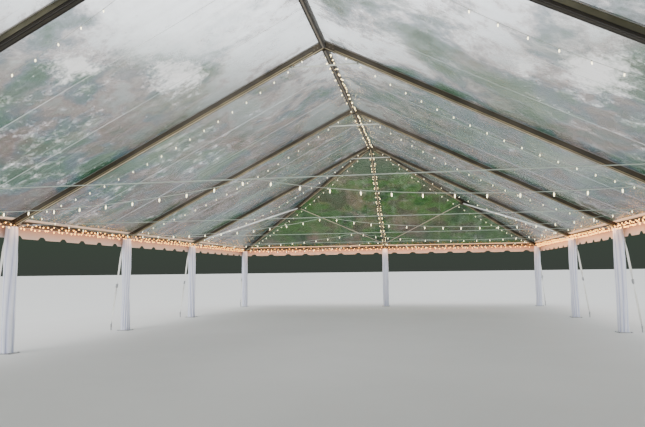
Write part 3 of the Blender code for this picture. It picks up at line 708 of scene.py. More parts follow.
def lamps_on_line_tree():
    """Lamps and their sockets at an even spacing along a line, hanging with a small random tilt."""
    tree, given, result = new_tree(
        "lamps_on_line", Spacing=(NUMBER, 0.4), Tilt=(NUMBER, 0.1), Scatter=(NUMBER, 0.0), Seed=(WHOLE, 3),
        Lamp=(OBJECT, None), Socket=(OBJECT, None), Lamp_finish=(MATERIAL, None),
        Socket_finish=(MATERIAL, None))
    line = add_node(tree, "GeometryNodeMeshToCurve", {0: given["Geometry"]})
    trimmed = add_node(tree, "GeometryNodeTrimCurve", {
        "Curve": line.outputs[0], "Start": 0.012, "End": 0.988})
    points = add_node(tree, "GeometryNodeResampleCurve", {
        "Curve": trimmed.outputs[0], "Length": given["Spacing"]}, mode="LENGTH")
    turn = add_node(tree, "FunctionNodeEulerToRotation", {0: spread(tree, given["Tilt"], given["Seed"])})
    moved = add_node(tree, "GeometryNodeSetPosition", {
        "Geometry": points.outputs[0], "Offset": spread(tree, given["Scatter"], 11)})
    shapes = []
    for label in ("Lamp", "Socket"):
        source = add_node(tree, "GeometryNodeObjectInfo", {"Object": given[label]}).outputs["Geometry"]
        shapes.append(copies_on(tree, moved.outputs[0], source, turn.outputs[0], given[label + " finish"]))
    tree.links.new(joined(tree, *shapes), result.inputs[0])
    return tree


def bolts_on_points_tree():
    """A hexagon head on its washer at each point, standing along the point's axis."""
    tree, given, result = new_tree(
        "bolts_on_points", Head_radius=(NUMBER, 0.0105), Head_height=(NUMBER, 0.008),
        Washer_radius=(NUMBER, 0.0135), Finish=(MATERIAL, None))
    axis = add_node(tree, "GeometryNodeInputNamedAttribute", {"Name": "axis"}, data_type="FLOAT_VECTOR")
    turn = add_node(tree, "FunctionNodeAlignRotationToVector", {"Vector": axis.outputs[0]}, axis="Z")
    washer = add_node(tree, "GeometryNodeMeshCylinder", {
        "Vertices": 12, "Radius": given["Washer radius"], "Depth": 0.003})
    head = add_node(tree, "GeometryNodeMeshCylinder", {
        "Vertices": 6, "Radius": given["Head radius"], "Depth": given["Head height"]})
    lift = add_node(tree, "ShaderNodeCombineXYZ", {"Z": times(tree, given["Head height"], 0.5)})
    raised = add_node(tree, "GeometryNodeTransform", {0: head.outputs[0], "Translation": lift.outputs[0]})
    both = joined(tree, washer.outputs[0], raised.outputs[0])
    heads = copies_on(tree, given["Geometry"], both, turn.outputs[0], given["Finish"])
    tree.links.new(heads, result.inputs[0])
    return tree


def plain_mesh(piece):
    """The piece's shape as a plain mesh, with its curve or its tree worked out."""
    bpy.context.view_layer.update()
    return bpy.data.meshes.new_from_object(piece.evaluated_get(bpy.context.evaluated_depsgraph_get()))


def grow(piece, tree, **values):
    """Run a tree on a piece with the named inputs, and keep the result as a plain mesh."""
    modifier = piece.modifiers.new(tree.name, "NODES")
    modifier.node_group = tree
    for item in tree.interface.items_tree:
        label = item.name.replace(" ", "_")
        if item.item_type == "SOCKET" and item.in_out == "INPUT" and label in values:
            modifier[item.identifier] = values[label]
    mesh = plain_mesh(piece)
    piece.modifiers.clear()
    piece.data = mesh


LAMPS_ON_LINE = lamps_on_line_tree()
BOLTS_ON_POINTS = bolts_on_points_tree()


# Lamps and cords

def lamp_shape(name, profile, sides):
    """A turned lamp or socket that hangs below its origin, kept out of the render."""
    shape = Shape()
    lathe(shape, (0, 0, 0), (0, 0, -1), profile, sides)
    piece = shape.build(name, [], 50)
    piece.hide_render = True
    return piece


BIG = (
    lamp_shape("lamp_pattern", [
        (0.012, 0.0044), (0.017, 0.0058), (0.027, 0.0066), (0.039, 0.0060), (0.046, 0.0042),
        (0.050, 0.0014)], 8),
    lamp_shape("socket_pattern", [(-0.005, 0.0042), (0.003, 0.0056), (0.011, 0.0060), (0.016, 0.0052)], 8))
SMALL = (
    lamp_shape("small_lamp_pattern", [
        (0.012, 0.0042), (0.017, 0.0064), (0.025, 0.0078), (0.034, 0.0074), (0.040, 0.0050),
        (0.043, 0.0015)], 8),
    lamp_shape("small_socket_pattern", [
        (-0.004, 0.0040), (0.003, 0.0052), (0.010, 0.0056), (0.014, 0.0048)], 8))
TINY = (
    lamp_shape("fairy_pattern", [(0.004, 0.0060), (0.014, 0.0125), (0.028, 0.0110), (0.037, 0.0035)], 6),
    lamp_shape("fairy_socket_pattern", [(-0.007, 0.0045), (0.006, 0.0050)], 6))

STRING_SPACING, STRING_TILT, STRING_RADIUS, FIRST_LAMP = 0.30, 0.12, 0.0032, 0.078
SWAG_RADIUS, SWAG_TOP, SWAG_LOW, SWAG_BELOW = 0.0022, 0.34, 5.70, 0.010
GARLAND_RADIUS, GARLAND_TILT, GARLAND_SCATTER = 0.0022, 1.1, 0.010


def hang_lamps(name, line, lamps, finish, spacing, tilt, scatter, seed):
    """Lamps on their sockets along a line; the eave lights stand in for the light that they throw."""
    mesh = bpy.data.meshes.new(name)
    mesh.from_pydata([tuple(p) for p in line], [(k, k + 1) for k in range(len(line) - 1)], [])
    hung = new_object(name, mesh)
    grow(hung, LAMPS_ON_LINE, Spacing=spacing, Tilt=tilt, Scatter=scatter, Seed=seed, Lamp=lamps[0],
         Socket=lamps[1], Lamp_finish=finish, Socket_finish=SOCKET)
    hung.visible_diffuse = False
    return hung


def cord_curve(name, points, radius):
    """One smooth open spline through the points, as a round lead, and the places along its middle."""
    data = bpy.data.curves.new(name, "CURVE")
    data.dimensions = "3D"
    data.resolution_u = 6
    data.bevel_resolution = 1
    data.use_fill_caps = True
    spline = data.splines.new("BEZIER")
    spline.bezier_points.add(len(points) - 1)
    for knot, place in zip(spline.bezier_points, points):
        knot.co = place
        knot.handle_left_type = knot.handle_right_type = "AUTO"
    piece = new_object(name, data)
    bare = plain_mesh(piece)
    line = [tuple(v.co) for v in bare.vertices]
    bpy.data.meshes.remove(bare)
    data.bevel_depth = radius
    data.materials.append(LEAD)
    return piece, line


def cut_start(line, length):
    """The line without its first stretch of this length."""
    along = lengths_along(line)
    start = tuple(float(np.interp(length, along, [p[k] for p in line])) for k in range(3))
    return [start] + [p for p, place in zip(line, along) if place > length + 1e-6]


def light_string(name, points, seed, replaces=(), lamps=BIG, radius=STRING_RADIUS, first=0.0):
    """A lead of hanging lamps."""
    lead, line = cord_curve(name + "_lead", points, radius)
    hung = hang_lamps(name + "_lamps", cut_start(line, first), lamps, LAMP, STRING_SPACING, STRING_TILT,
                      0.0, seed)
    hung.data.shade_smooth()
    ride(lead, replaces)
    ride(hung)


def swag(name, start, stop, sideways, drop, seed, count=25):
    """A string hung below a rafter, from its underside near the top to near the eave."""
    shares = np.linspace(0.0, 1.0, count)
    points = start + np.outer(shares, stop - start)
    points[:, 2] -= drop * 4 * shares * (1 - shares)
    light_string(name, [tuple(p) for p in points + np.array(sideways)], seed, lamps=SMALL, radius=SWAG_RADIUS)


HIP_ANGLE = math.atan2(RIDGE_HEIGHT - EAVE_HEIGHT, math.hypot(HALF_WIDTH, HIP_LENGTH))
HIP_VERTICAL = HIP_DEPTH / math.cos(HIP_ANGLE)
HIP_DROP = TAN / math.sqrt(2) * HIP_WIDTH / 2 + GAP


def hip_under(across):
    """Height of a hip rafter's underside where it is this far across from the ridge's end."""
    return sheet_under(across) - HIP_DROP - HIP_VERTICAL


def all_light_strings():
    for number, (name, nodes) in enumerate((("near", ["light_string_near"]), ("far", ["light_string_far"]),
                                            ("third", []), ("fourth", []))):
        route = [(x, FRAME_YS[number] + out, z) for x, out, z in STRING_POINTS]
        light_string(f"light_string_{name}", route, 5 + number, nodes, first=FIRST_LAMP)
    for number, y in enumerate(FRAME_YS):
        for side, word in SIDES:
            start, stop = [np.array((side * d, y, line_height(d) - HALF_VERTICAL - SWAG_BELOW))
                           for d in (SWAG_TOP, SWAG_LOW)]
            drop = 0.27 if number else 0.40
            swag(f"rafter_lights_{word}_{number + 1}", start, stop, (0, -0.047, 0), drop, 20 + number)
    for end, end_word in ENDS:
        for side, word in SIDES:
            start, stop = [np.array((side * d, end * (HALF_BAYS + d), hip_under(d) - SWAG_BELOW))
                           for d in (0.45, 5.72)]
            sideways = 0.036 * np.array((-side, end, 0)) / math.sqrt(2)
            swag(f"hip_lights_{end_word}_{word}", start, stop, sideways, 0.17, 40)


all_light_strings()


def garland(name, line, spacing, seed, finish=FAIRY):
    """Small warm lamps on a thin lead that is clipped along a member."""
    lead = Shape()
    tube(lead, line, GARLAND_RADIUS, 5)
    lead.fit(name + "_lead", [SOCKET], 60, "string_wire")
    ride(hang_lamps(name + "_lamps", line, TINY, finish, spacing, GARLAND_TILT, GARLAND_SCATTER, seed))


def wavy(start, stop, away, up, period=0.30, height=0.03, sway=0.006, step=0.05):
    """A line between two points that waves up and down and stands a little off its member."""
    start, stop = np.array(start, float), np.array(stop, float)
    length = np.linalg.norm(stop - start)
    places = np.linspace(0.0, 1.0, int(length / step) + 2)
    wave = np.sin(places * length * 2 * math.pi / period)
    other = np.sin(places * length * 2 * math.pi / (period * 1.37) + 1.0)
    line = start + np.outer(places, stop - start)
    return line + np.outer(wave * height, up) + np.outer(other * sway, away)


def eave_garlands(word, along, away, half_length, beam, sign, spacings, seed):
    """One garland on an eave beam's inner face and one under the beam."""
    along, away = np.array(along), np.array(away)
    reach = along * half_length
    face = away * sign * (beam - BEAM_WIDTH / 2 - 0.016) + np.array(Z) * (BEAM_BOTTOM + 0.048)
    under = away * sign * (beam - 0.012) + np.array(Z) * (BEAM_BOTTOM - 0.014)
    garland(f"eave_lights_{word}_face", wavy(face - reach, face + reach, away, Z), spacings[0], seed)
    garland(f"eave_lights_{word}_under", wavy(under - reach, under + reach, Z, away, 0.42, 0.018, 0.004),
            spacings[1], seed + 1)


def all_garlands():
    for (side, word), spacings in zip(SIDES, ((0.140, 0.160), (0.105, 0.115))):
        eave_garlands(word, Y, X, FOOT_Y - 0.06, BEAM_X, side, spacings, 2)
    for end, word in ENDS:
        eave_garlands(word, X, Y, FOOT_X - 0.06, BEAM_Y, end, (0.170, 0.190), 4)
        # Wound round the middle rafter of the end slope, down from the crown
        for side, side_word in SIDES:
            high, low = [(side * (HIP_WIDTH / 2 + 0.012), end * y, line_height(y - HALF_BAYS) - 0.03)
                         for y in (HALF_BAYS + 0.30, FOOT_Y - 0.10)]
            garland(f"end_rafter_lights_{word}_{side_word}", wavy(high, low, X, Z, 0.34, 0.035), 0.17, 6,
                    GOLD_FAIRY)
    height = sheet_under(RIDGE_WIDTH / 2) - GAP - RIDGE_DEPTH + 0.04
    for side, word in SIDES:
        for bay in (1, 2):
            start, stop = [(side * (RIDGE_WIDTH / 2 + 0.012), y, height)
                           for y in (FRAME_YS[bay] + 0.12, FRAME_YS[bay + 1] - 0.12)]
            garland(f"ridge_lights_{word}_{bay + 1}", wavy(start, stop, X, Z, 0.36, 0.028),
                    0.17 if side > 0 else 0.30, 7 + bay, GOLD_FAIRY)


all_garlands()


# Aluminium frame

# Which of a section's four finishes an edge takes; the groove finish paints shade into the recesses
SIDE_EDGE, UNDER_EDGE, LIP_EDGE, GROOVE_EDGE = range(4)
# A section's corner radius, its sheet groove's lip, half mouth, half height and depth, and its bolt slots
CORNER, LIP, TRACK_MOUTH, TRACK_HALF, TRACK_DEEP = 0.004, 0.003, 0.0045, 0.008, 0.012
SLOT_WIDTH, SLOT_DEEP = 0.011, 0.007
CLOSE = 0.0005


def box_section(width, depth, keder=None, peak=0.0):
    """Outline of an extruded box beam with its sheet grooves and bolt slots, and each edge's finish."""
    half, high = width / 2, depth / 2
    right = [(0.0, high + peak)]
    right += arc(half - CORNER, high - CORNER, CORNER, 90, 0) if not peak else [(half, high)]
    if keder is not None:
        lip, deep = half - LIP, half - TRACK_DEEP
        right += [(half, keder + TRACK_MOUTH), (lip, keder + TRACK_MOUTH), (lip, keder + TRACK_HALF),
                  (deep, keder + TRACK_HALF), (deep, keder - TRACK_HALF), (lip, keder - TRACK_HALF),
                  (lip, keder - TRACK_MOUTH), (half, keder - TRACK_MOUTH)]
    low = 0.024 if depth > 0.11 else 0.045
    right += [(half, -high + low + SLOT_WIDTH), (half - SLOT_DEEP, -high + low + SLOT_WIDTH),
              (half - SLOT_DEEP, -high + low), (half, -high + low)]
    right += arc(half - CORNER, -high + CORNER, CORNER, 0, -90)
    slot = min(0.030, width * 0.36)
    right += [(half - slot + SLOT_WIDTH, -high), (half - slot + SLOT_WIDTH, -high + SLOT_DEEP),
              (half - slot, -high + SLOT_DEEP), (half - slot, -high)]
    outline = right + [(0.0, -high)] + [(-w, h) for w, h in reversed(right[1:])]
    finishes = []
    for (w0, h0), (w1, h1) in zip(outline, outline[1:] + outline[:1]):
        top = max(h0, h1)
        if top < -high + SLOT_DEEP + CLOSE:
            flush = top < -high + CLOSE and max(abs(w0), abs(w1)) < half - slot + CLOSE
            finishes.append(UNDER_EDGE if flush else GROOVE_EDGE)
        elif min(abs(w0), abs(w1)) > half - CLOSE:
            finishes.append(LIP_EDGE if top < -high + low + CLOSE else SIDE_EDGE)
        else:
            finishes.append(GROOVE_EDGE if top < high - 0.006 else SIDE_EDGE)
    return outline, finishes


MAIN_SECTION = box_section(RAFTER_WIDTH, RAFTER_DEPTH, keder=SHEET_RISE)
HIP_SECTION = box_section(HIP_WIDTH, HIP_DEPTH)
BEAM_SECTION = box_section(BEAM_WIDTH, BEAM_DEPTH)
RIDGE_SECTION = box_section(RIDGE_WIDTH, RIDGE_DEPTH, peak=TAN * RIDGE_WIDTH / 2)

BOLTS = []
# Drops below the rafters, and places across the hall
TIE_DROP, TIE_HALF, TIE_PIN = 0.400, 0.640, 0.6
CABLE_PIN, CABLE_RADIUS = HALF_WIDTH - 0.170, 0.0050
CABLE_HEIGHT = line_height(CABLE_PIN) - HALF_VERTICAL - 0.050
STRAND_LEFT, STRAND_RIGHT = -5.50, 5.70
PLATE_IN, PLATE_KNEE, CAP_OUT, CAP_BOLT = 5.86, 5.93, 6.094, 6.055


def bolt(place, axis):
    BOLTS.append((tuple(place), tuple(axis)))


def main_rafters(number, y, nodes):
    """Two rafters mitred under the ridge, cut square to the floor at the eave beams."""
    shape = Shape()
    for side in (-1, 1):
        member(shape, MAIN_SECTION, (0, y, RIDGE_HEIGHT), (side * COS, 0, -SIN), (side * SIN, 0, COS),
               ((0, y, 0), X), ((side * FOOT_X, y, 0), X))
    # The first frame takes the painted lit sides and painted shade undersides; the others take painted shade
    # sides and painted lit undersides and lips
    near, far = [PAINTED_LIT_NEAR_SIDE, PAINTED_SHADE_NEAR_UNDER, PAINTED_SHADE_NEAR_UNDER, PAINTED_SHADE_GROOVE], [PAINTED_SHADE_FAR_SIDE, PAINTED_LIT_FAR_UNDER, PAINTED_LIT_FAR_LIP, PAINTED_SHADE_GROOVE]
    shape.fit(f"rafters_{number}", near if number == 1 else far, 35, "aluminium", nodes)


def crown_fitting(number, y, nodes):
    """Splice plates on both faces, hanger plates under the ridge beams, and an eye below."""
    shape = Shape()
    high = sheet_under(0.0) - 0.008
    low = RIDGE_HEIGHT - HALF_VERTICAL - 0.006
    reach, clip = 0.200, 0.014
    fall, small = reach * TAN, clip * TAN
    right = [(reach - clip, high - fall + small), (reach, high - fall - clip), (reach, low - fall + clip),
             (reach - clip, low - fall + small)]
    outline = [(0.0, high), *right, (0.0, low), *((-x, z) for x, z in reversed(right))]
    for face in (-1, 1):
        slab(shape, outline, 0.0078, (0, y + face * 0.0591, 0), X, Z)
        for x in (0.040, 0.105, 0.170):
            for rise in (0.030, -0.038):
                for side in (-1, 1):
                    bolt((side * x, y + face * CROWN_HALF, line_height(x) + rise), (0, face, 0))
        # A hanger plate carries the ridge beam's or the end rafter's tip
        hanger_y = y + face * (CROWN_HALF + 0.046)
        slab(shape, rounded_box(0.10, 0.085, 0.008), 0.006, (0, hanger_y, low - 0.002), X, Y)
        for x in (-0.028, 0.028):
            bolt((x, hanger_y, low - 0.007), (0, 0, -1))
    tube(shape, [(0, y, low + 0.004), (0, y, low - 0.012)], 0.006, 8)
    turns = np.linspace(0.3, 2 * math.pi - 0.3, 17)
    tube(shape, [(0.022 * math.sin(t), y, low - 0.032 - 0.022 * math.cos(t)) for t in turns], 0.0045, 8)
    shape.fit(f"crown_fitting_{number}", [DARK_STEEL], 35, "aluminium", nodes)


def tie_bar(number, y, nodes):
    """The short round tie under the crown, in clevises bolted to the rafters."""
    shape = Shape()
    height = RIDGE_HEIGHT - TIE_DROP
    lathe(shape, (-TIE_HALF, y, height), X, [
        (0.0, 0.010), (0.004, 0.0125), (0.030, 0.0125), (0.034, 0.015), (1.246, 0.015), (1.250, 0.0125),
        (1.276, 0.0125), (1.280, 0.010)], 14)
    top = line_height(TIE_PIN) - HALF_VERTICAL - height + 0.012
    outline = [(-0.020, top + 0.008), (-0.020, -0.012), (-0.012, -0.024), (0.012, -0.024), (0.020, -0.012),
               (0.020, top - 0.012)]
    for side in (-1, 1):
        for face in (-1, 1):
            slab(shape, [(side * w, h) for w, h in outline], 0.005,
                 (side * TIE_PIN, y + face * 0.0185, height), X, Z)
            for rise in (0.038, 0.0):
                bolt((side * TIE_PIN, y + face * 0.0212, height + rise), (0, face, 0))
    shape.fit(f"tie_bar_{number}", [TIE_STEEL], 40, "aluminium", nodes)


def tension_cable(number, y, nodes):
    """The strand from eave to eave, with a fork at each end and a turnbuckle at the left."""
    height = CABLE_HEIGHT
    strand = Shape()
    tube(strand, [(x, y, height) for x in np.linspace(STRAND_LEFT, STRAND_RIGHT, 45)], CABLE_RADIUS, 8)
    strand.fit(f"tension_cable_{number}", [STRAND], 60, "aluminium", nodes)
    ends = Shape()
    terminal = [(0.0, 0.0075), (0.004, 0.0105), (0.110, 0.0115), (0.118, 0.016), (0.150, 0.018),
                (0.156, 0.012)]
    top = line_height(CABLE_PIN) - HALF_VERTICAL - height + 0.004
    outline = [(-0.025, top + 0.010), (-0.025, -0.014), (-0.015, -0.025), (0.015, -0.025), (0.025, -0.014),
               (0.025, top - 0.010)]
    for side, start in ((-1, 5.48), (1, STRAND_RIGHT)):
        lathe(ends, (side * start, y, height), (side, 0, 0), terminal, 12)
        for face in (-1, 1):
            slab(ends, rounded_box(0.100, 0.034, 0.015, 4, (side * 0.050, 0.0)), 0.005,
                 (side * (CABLE_PIN - 0.082), y + face * 0.0115, height), X, Z)
            bolt((side * CABLE_PIN, y + face * 0.0140, height), (0, face, 0))
        slab(ends, [(side * w, h) for w, h in outline], 0.014, (side * CABLE_PIN, y, height), X, Z)
    # Turnbuckle: two side bars between its threaded bosses
    for face in (-1, 1):
        tube(ends, [(-5.845 + 0.012, y + face * 0.013, height), (-5.64, y + face * 0.013, height)], 0.0055, 8)
    for x in (-5.655, -5.850):
        lathe(ends, (x, y, height), X, [(0, 0.012), (0.003, 0.020), (0.030, 0.020), (0.034, 0.012)], 6)
    ends.fit(f"cable_ends_{number}", [STEEL], 35, "aluminium", nodes)


def rafter_feet(number, y, nodes):
    """Angle plates that bolt each rafter's foot to the eave beam, and the cap over the beam."""
    shape = Shape()
    z_in, z_out = line_height(PLATE_IN), line_height(FOOT_X - 0.002)
    cheek = [(PLATE_IN, z_in + 0.028), (FOOT_X - 0.002, z_out + 0.028), (FOOT_X - 0.002, BEAM_BOTTOM + 0.004),
             (PLATE_KNEE, z_in - 0.052), (PLATE_IN, z_in - 0.048)]
    crest = line_height(FOOT_X) + HALF_VERTICAL
    cap = [(FOOT_X + 0.001, BEAM_TOP + 0.001), (CAP_OUT, BEAM_TOP + 0.001), (CAP_OUT, crest - 0.042),
           (FOOT_X + 0.001, crest - 0.001)]
    for side in (-1, 1):
        for face in (-1, 1):
            slab(shape, [(side * x, z) for x, z in cheek], 0.006, (0, y + face * 0.0584, 0), X, Z)
            for x in (5.885, 5.935):
                bolt((side * x, y + face * 0.0612, line_height(x)), (0, face, 0))
            slab(shape, rounded_box(0.055, 0.088, 0.006), 0.006,
                 (side * (FOOT_X - 0.004), y + face * 0.0885, BEAM_BOTTOM + 0.05), Y, Z)
            for rise in (0.028, 0.072):
                bolt((side * (FOOT_X - 0.008), y + face * 0.092, BEAM_BOTTOM + rise), (-side, 0, 0))
        slab(shape, [(side * x, z) for x, z in cap], 0.106, (0, y, 0), X, Z, bevel=0.004)
        for face in (-1, 1):
            spot = (side * CAP_BOLT, y + face * 0.028, line_height(CAP_BOLT) + HALF_VERTICAL - 0.003)
            bolt(spot, (side * SIN, 0, COS))
    shape.fit(f"rafter_feet_{number}", [BEAM_BROWN], 35, "aluminium", nodes)


def hip_rafters(end, word, nodes):
    """Two hip rafters and the middle rafter of the end slope."""
    bars = Shape()
    start_y = end * HALF_BAYS
    fall, run = math.sin(HIP_ANGLE), math.cos(HIP_ANGLE)
    origin = np.array((0, start_y, hip_under(0.0) + HIP_VERTICAL / 2))
    begin = (CROWN_HALF + GAP + HIP_WIDTH / 2 / math.sqrt(2)) * math.sqrt(2)
    stop = (FOOT_X - HIP_WIDTH / 2 / math.sqrt(2)) * math.sqrt(2)
    for side in (-1, 1):
        plan = np.array((side, end, 0)) / math.sqrt(2)
        along, up = plan * run + np.array((0, 0, -fall)), plan * fall + np.array((0, 0, run))
        member(bars, HIP_SECTION, origin, along, up, (origin + plan * begin, plan),
               (origin + plan * stop, plan))
    middle = (0, start_y, sheet_under(0.0) - GAP - HIP_DEPTH / 2 / COS)
    member(bars, HIP_SECTION, middle, (0, end * COS, -SIN), (0, end * SIN, COS),
           ((0, start_y + end * (CROWN_HALF + GAP), 0), Y), ((0, end * FOOT_Y, 0), Y))
    bars.fit(f"hip_rafters_{word}", [PAINTED_SHADE_FAR_SIDE, PAINTED_LIT_FAR_UNDER, PAINTED_LIT_FAR_LIP, PAINTED_SHADE_GROOVE], 35, "aluminium", nodes)


def brace(shape, foot, hub, foot_end, hub_end, sides):
    """A tube from a foot to a hub. Each end is rows of (distance from it, radius), from foot to hub."""
    reach = hub - foot
    span = np.linalg.norm(reach)
    lathe(shape, foot, reach, [*foot_end, *((span - d, r) for d, r in hub_end)], sides)


def hip_fittings(end, word, nodes):
    """Node plates, the lugs at the rafters' feet, corner plates, and the tube braces between them."""
    fall, run = math.sin(HIP_ANGLE), math.cos(HIP_ANGLE)
    start_y = end * HALF_BAYS
    plates, tubes, thin = Shape(), Shape(), Shape()
    foot_y = FOOT_Y - HALF_BAYS - 0.246
    end_foot = np.array((0, start_y + end * foot_y, sheet_under(foot_y) - GAP - HIP_DEPTH / 2 / COS))
    half_span = HALF_WIDTH / 2
    for side in (-1, 1):
        plan, across = np.array((side, end, 0)) / math.sqrt(2), np.array((-side, end, 0)) / math.sqrt(2)
        hub = np.array((side * half_span, start_y + end * half_span, hip_under(half_span)))
        lean = plan * run + np.array((0, 0, -fall))
        up = plan * fall + np.array((0, 0, run))
        for face in (-1, 1):
            slab(plates, rounded_box(0.16, 0.120, 0.020), 0.008, hub + across * face * 0.0495, lean, up)
            for w, h in ((-0.055, 0.035), (0.055, 0.035), (-0.055, -0.035), (0.055, -0.035)):
                bolt(hub + across * face * 0.0536 + lean * w + up * h, across * face)
        slab(plates, rounded_box(0.150, 0.100, 0.012), 0.010, hub - up * 0.055, lean, across)
        lug_x = HALF_WIDTH - 0.246
        lug_y = start_y + end * (RAFTER_WIDTH / 2 + GAP + 0.030)
        foot = np.array((side * lug_x, lug_y, line_height(lug_x) - 0.012))
        slab(plates, rounded_box(0.058, 0.058, 0.010), 0.006, foot + (0, -end * 0.0265, 0), X, Z)
        for w in (-0.019, 0.019):
            slab(plates, rounded_box(0.050, 0.056, 0.018, 4), 0.005, foot + (w, 0, 0), Y, Z)
            bolt(foot + (w * 1.15, 0, 0), (math.copysign(1.0, w), 0, 0))
        brace(tubes, foot, hub, [(0.0, 0.010), (0.004, 0.016), (0.045, 0.016), (0.060, 0.024)],
              [(0.060, 0.024), (0.045, 0.016), (0.0, 0.014)], 16)
        brace(thin, end_foot, hub, [(0.0, 0.010), (0.050, 0.010), (0.060, 0.014)],
              [(0.060, 0.014), (0.050, 0.010), (0.0, 0.010)], 12)
        # Corner plates where the hip rafter meets the two eave beams
        corner = np.array((side * FOOT_X, end * FOOT_Y, 0))
        for inward, level in (((0, -end, 0), (side, 0, 0)), ((-side, 0, 0), (0, end, 0))):
            inward, level = np.array(inward), np.array(level)
            spot = corner + inward * 0.075 - level * 0.004 + (0, 0, BEAM_BOTTOM + 0.05)
            slab(plates, rounded_box(0.090, 0.080, 0.008), 0.006, spot, inward, Z)
            for shift in (-0.025, 0.025):
                bolt(spot + inward * shift - level * 0.003, -level)
    plates.fit(f"hip_plates_{word}", [DARK_STEEL], 35, "aluminium", nodes)
    tubes.fit(f"hip_braces_{word}", [WHITE_TUBE], 40, "aluminium", nodes)
    thin.fit(f"end_braces_{word}", [TAN_TUBE], 40, "aluminium", nodes)


def beam(name, section, middle, along, start, stop, finishes, node):
    """A level beam between two places on its own axis."""
    shape, along = Shape(), np.array(along)
    member(shape, section, middle, along, Z, (along * start, along), (along * stop, along))
    shape.fit(name, finishes, 35, "aluminium", [node])


def all_beams():
    ridge_middle = sheet_under(RIDGE_WIDTH / 2) - GAP - RIDGE_DEPTH / 2
    for bay in range(3):
        start, stop = FRAME_YS[bay] + CROWN_HALF + GAP, FRAME_YS[bay + 1] - CROWN_HALF - GAP
        beam(f"ridge_section_{bay + 1}", RIDGE_SECTION, (0, 0, ridge_middle), Y, start, stop,
             [PAINTED_SHADE_FAR_SIDE, PAINTED_LIT_RIDGE_UNDER, PAINTED_SHADE_FAR_SIDE, PAINTED_SHADE_GROOVE], f"ridge_beam_{bay + 1}")
    eave_middle = BEAM_TOP - BEAM_DEPTH / 2
    reach_y = BEAM_Y + BEAM_WIDTH / 2
    for side, word in SIDES:
        face = BEAM_BROWN if side < 0 else PAINTED_SHADE_BEAM
        beam(f"eave_section_{word}", BEAM_SECTION, (side * BEAM_X, 0, eave_middle), Y, -reach_y, reach_y,
             [face, face, face, PAINTED_SHADE_GROOVE], f"eave_beam_{word}")
    for end, word in ENDS:
        beam(f"eave_section_{word}", BEAM_SECTION, (0, end * BEAM_Y, eave_middle), X, -FOOT_X, FOOT_X,
             [BEAM_BROWN, BEAM_BROWN, BEAM_BROWN, PAINTED_SHADE_GROOVE], f"eave_beam_{word}")


for frame_number, frame_y in enumerate(FRAME_YS, start=1):
    for make in (main_rafters, crown_fitting, tie_bar, tension_cable, rafter_feet):
        make(frame_number, frame_y, [f"main_frame_{frame_number}"])
for end, word in ENDS:
    hip_rafters(end, word, [f"hip_frame_{word}"])
    hip_fittings(end, word, [f"hip_frame_{word}"])
all_beams()


# Roof sheets

RNG = np.random.default_rng(11)
RIPPLES = [(RNG.uniform(0.6, 2.2) * 2 * math.pi / 2.0, RNG.uniform(0.6, 2.2) * 2 * math.pi / 2.0,
            RNG.uniform(0, 6.28), RNG.uniform(0.5, 1.0)) for _ in range(9)]

LOW_RISE = -EAVE_OVERHANG / COS
BEAM_RISE = (HALF_WIDTH - BEAM_X) / COS
RIDGE_CUT = (RAFTER_DEPTH / 2 - 0.018) * TAN - GAP
TOP_RISE = HALF_WIDTH / COS - 2 * SHEET_HALF * TAN + RIDGE_CUT
SEAM = 2 * SHEET_HALF * math.sqrt(2)
NEAR = RAFTER_WIDTH / 2 + GAP
SHEET_THICK, LAP_THICK, EDGE_THICK, HEM_THICK = 0.0016, 0.0030, 0.0036, 0.0042
HEM_FINISH, LAP_FINISH, EDGE_FINISH = range(3)


def ripple(along, rise, seed):
    """Small smooth unevenness, between about -1 and 1."""
    total = 0.0
    for k, (a, b, phase, weight) in enumerate(RIPPLES):
        total = total + weight * np.sin(a * along + b * rise * (1 if k % 2 else -1) + phase + seed * 1.7)
    return total / 3.2


def straight(place):
    """A line that runs straight up a slope at one place along its eave."""
    return lambda rise: place + 0.0 * rise


class Slope:
    """One face of the roof: where its eave lies, which way its eave runs and which way is up it."""

    def __init__(self, eave, right, up):
        self.eave, self.right, self.up = np.array(eave, float), unit(right), unit(up)
        self.normal = np.cross(self.right, self.up)

    def point(self, along, rise, lift):
        return (self.eave + along[..., None] * self.right + rise[..., None] * self.up
                + (SHEET_RISE + lift)[..., None] * self.normal)


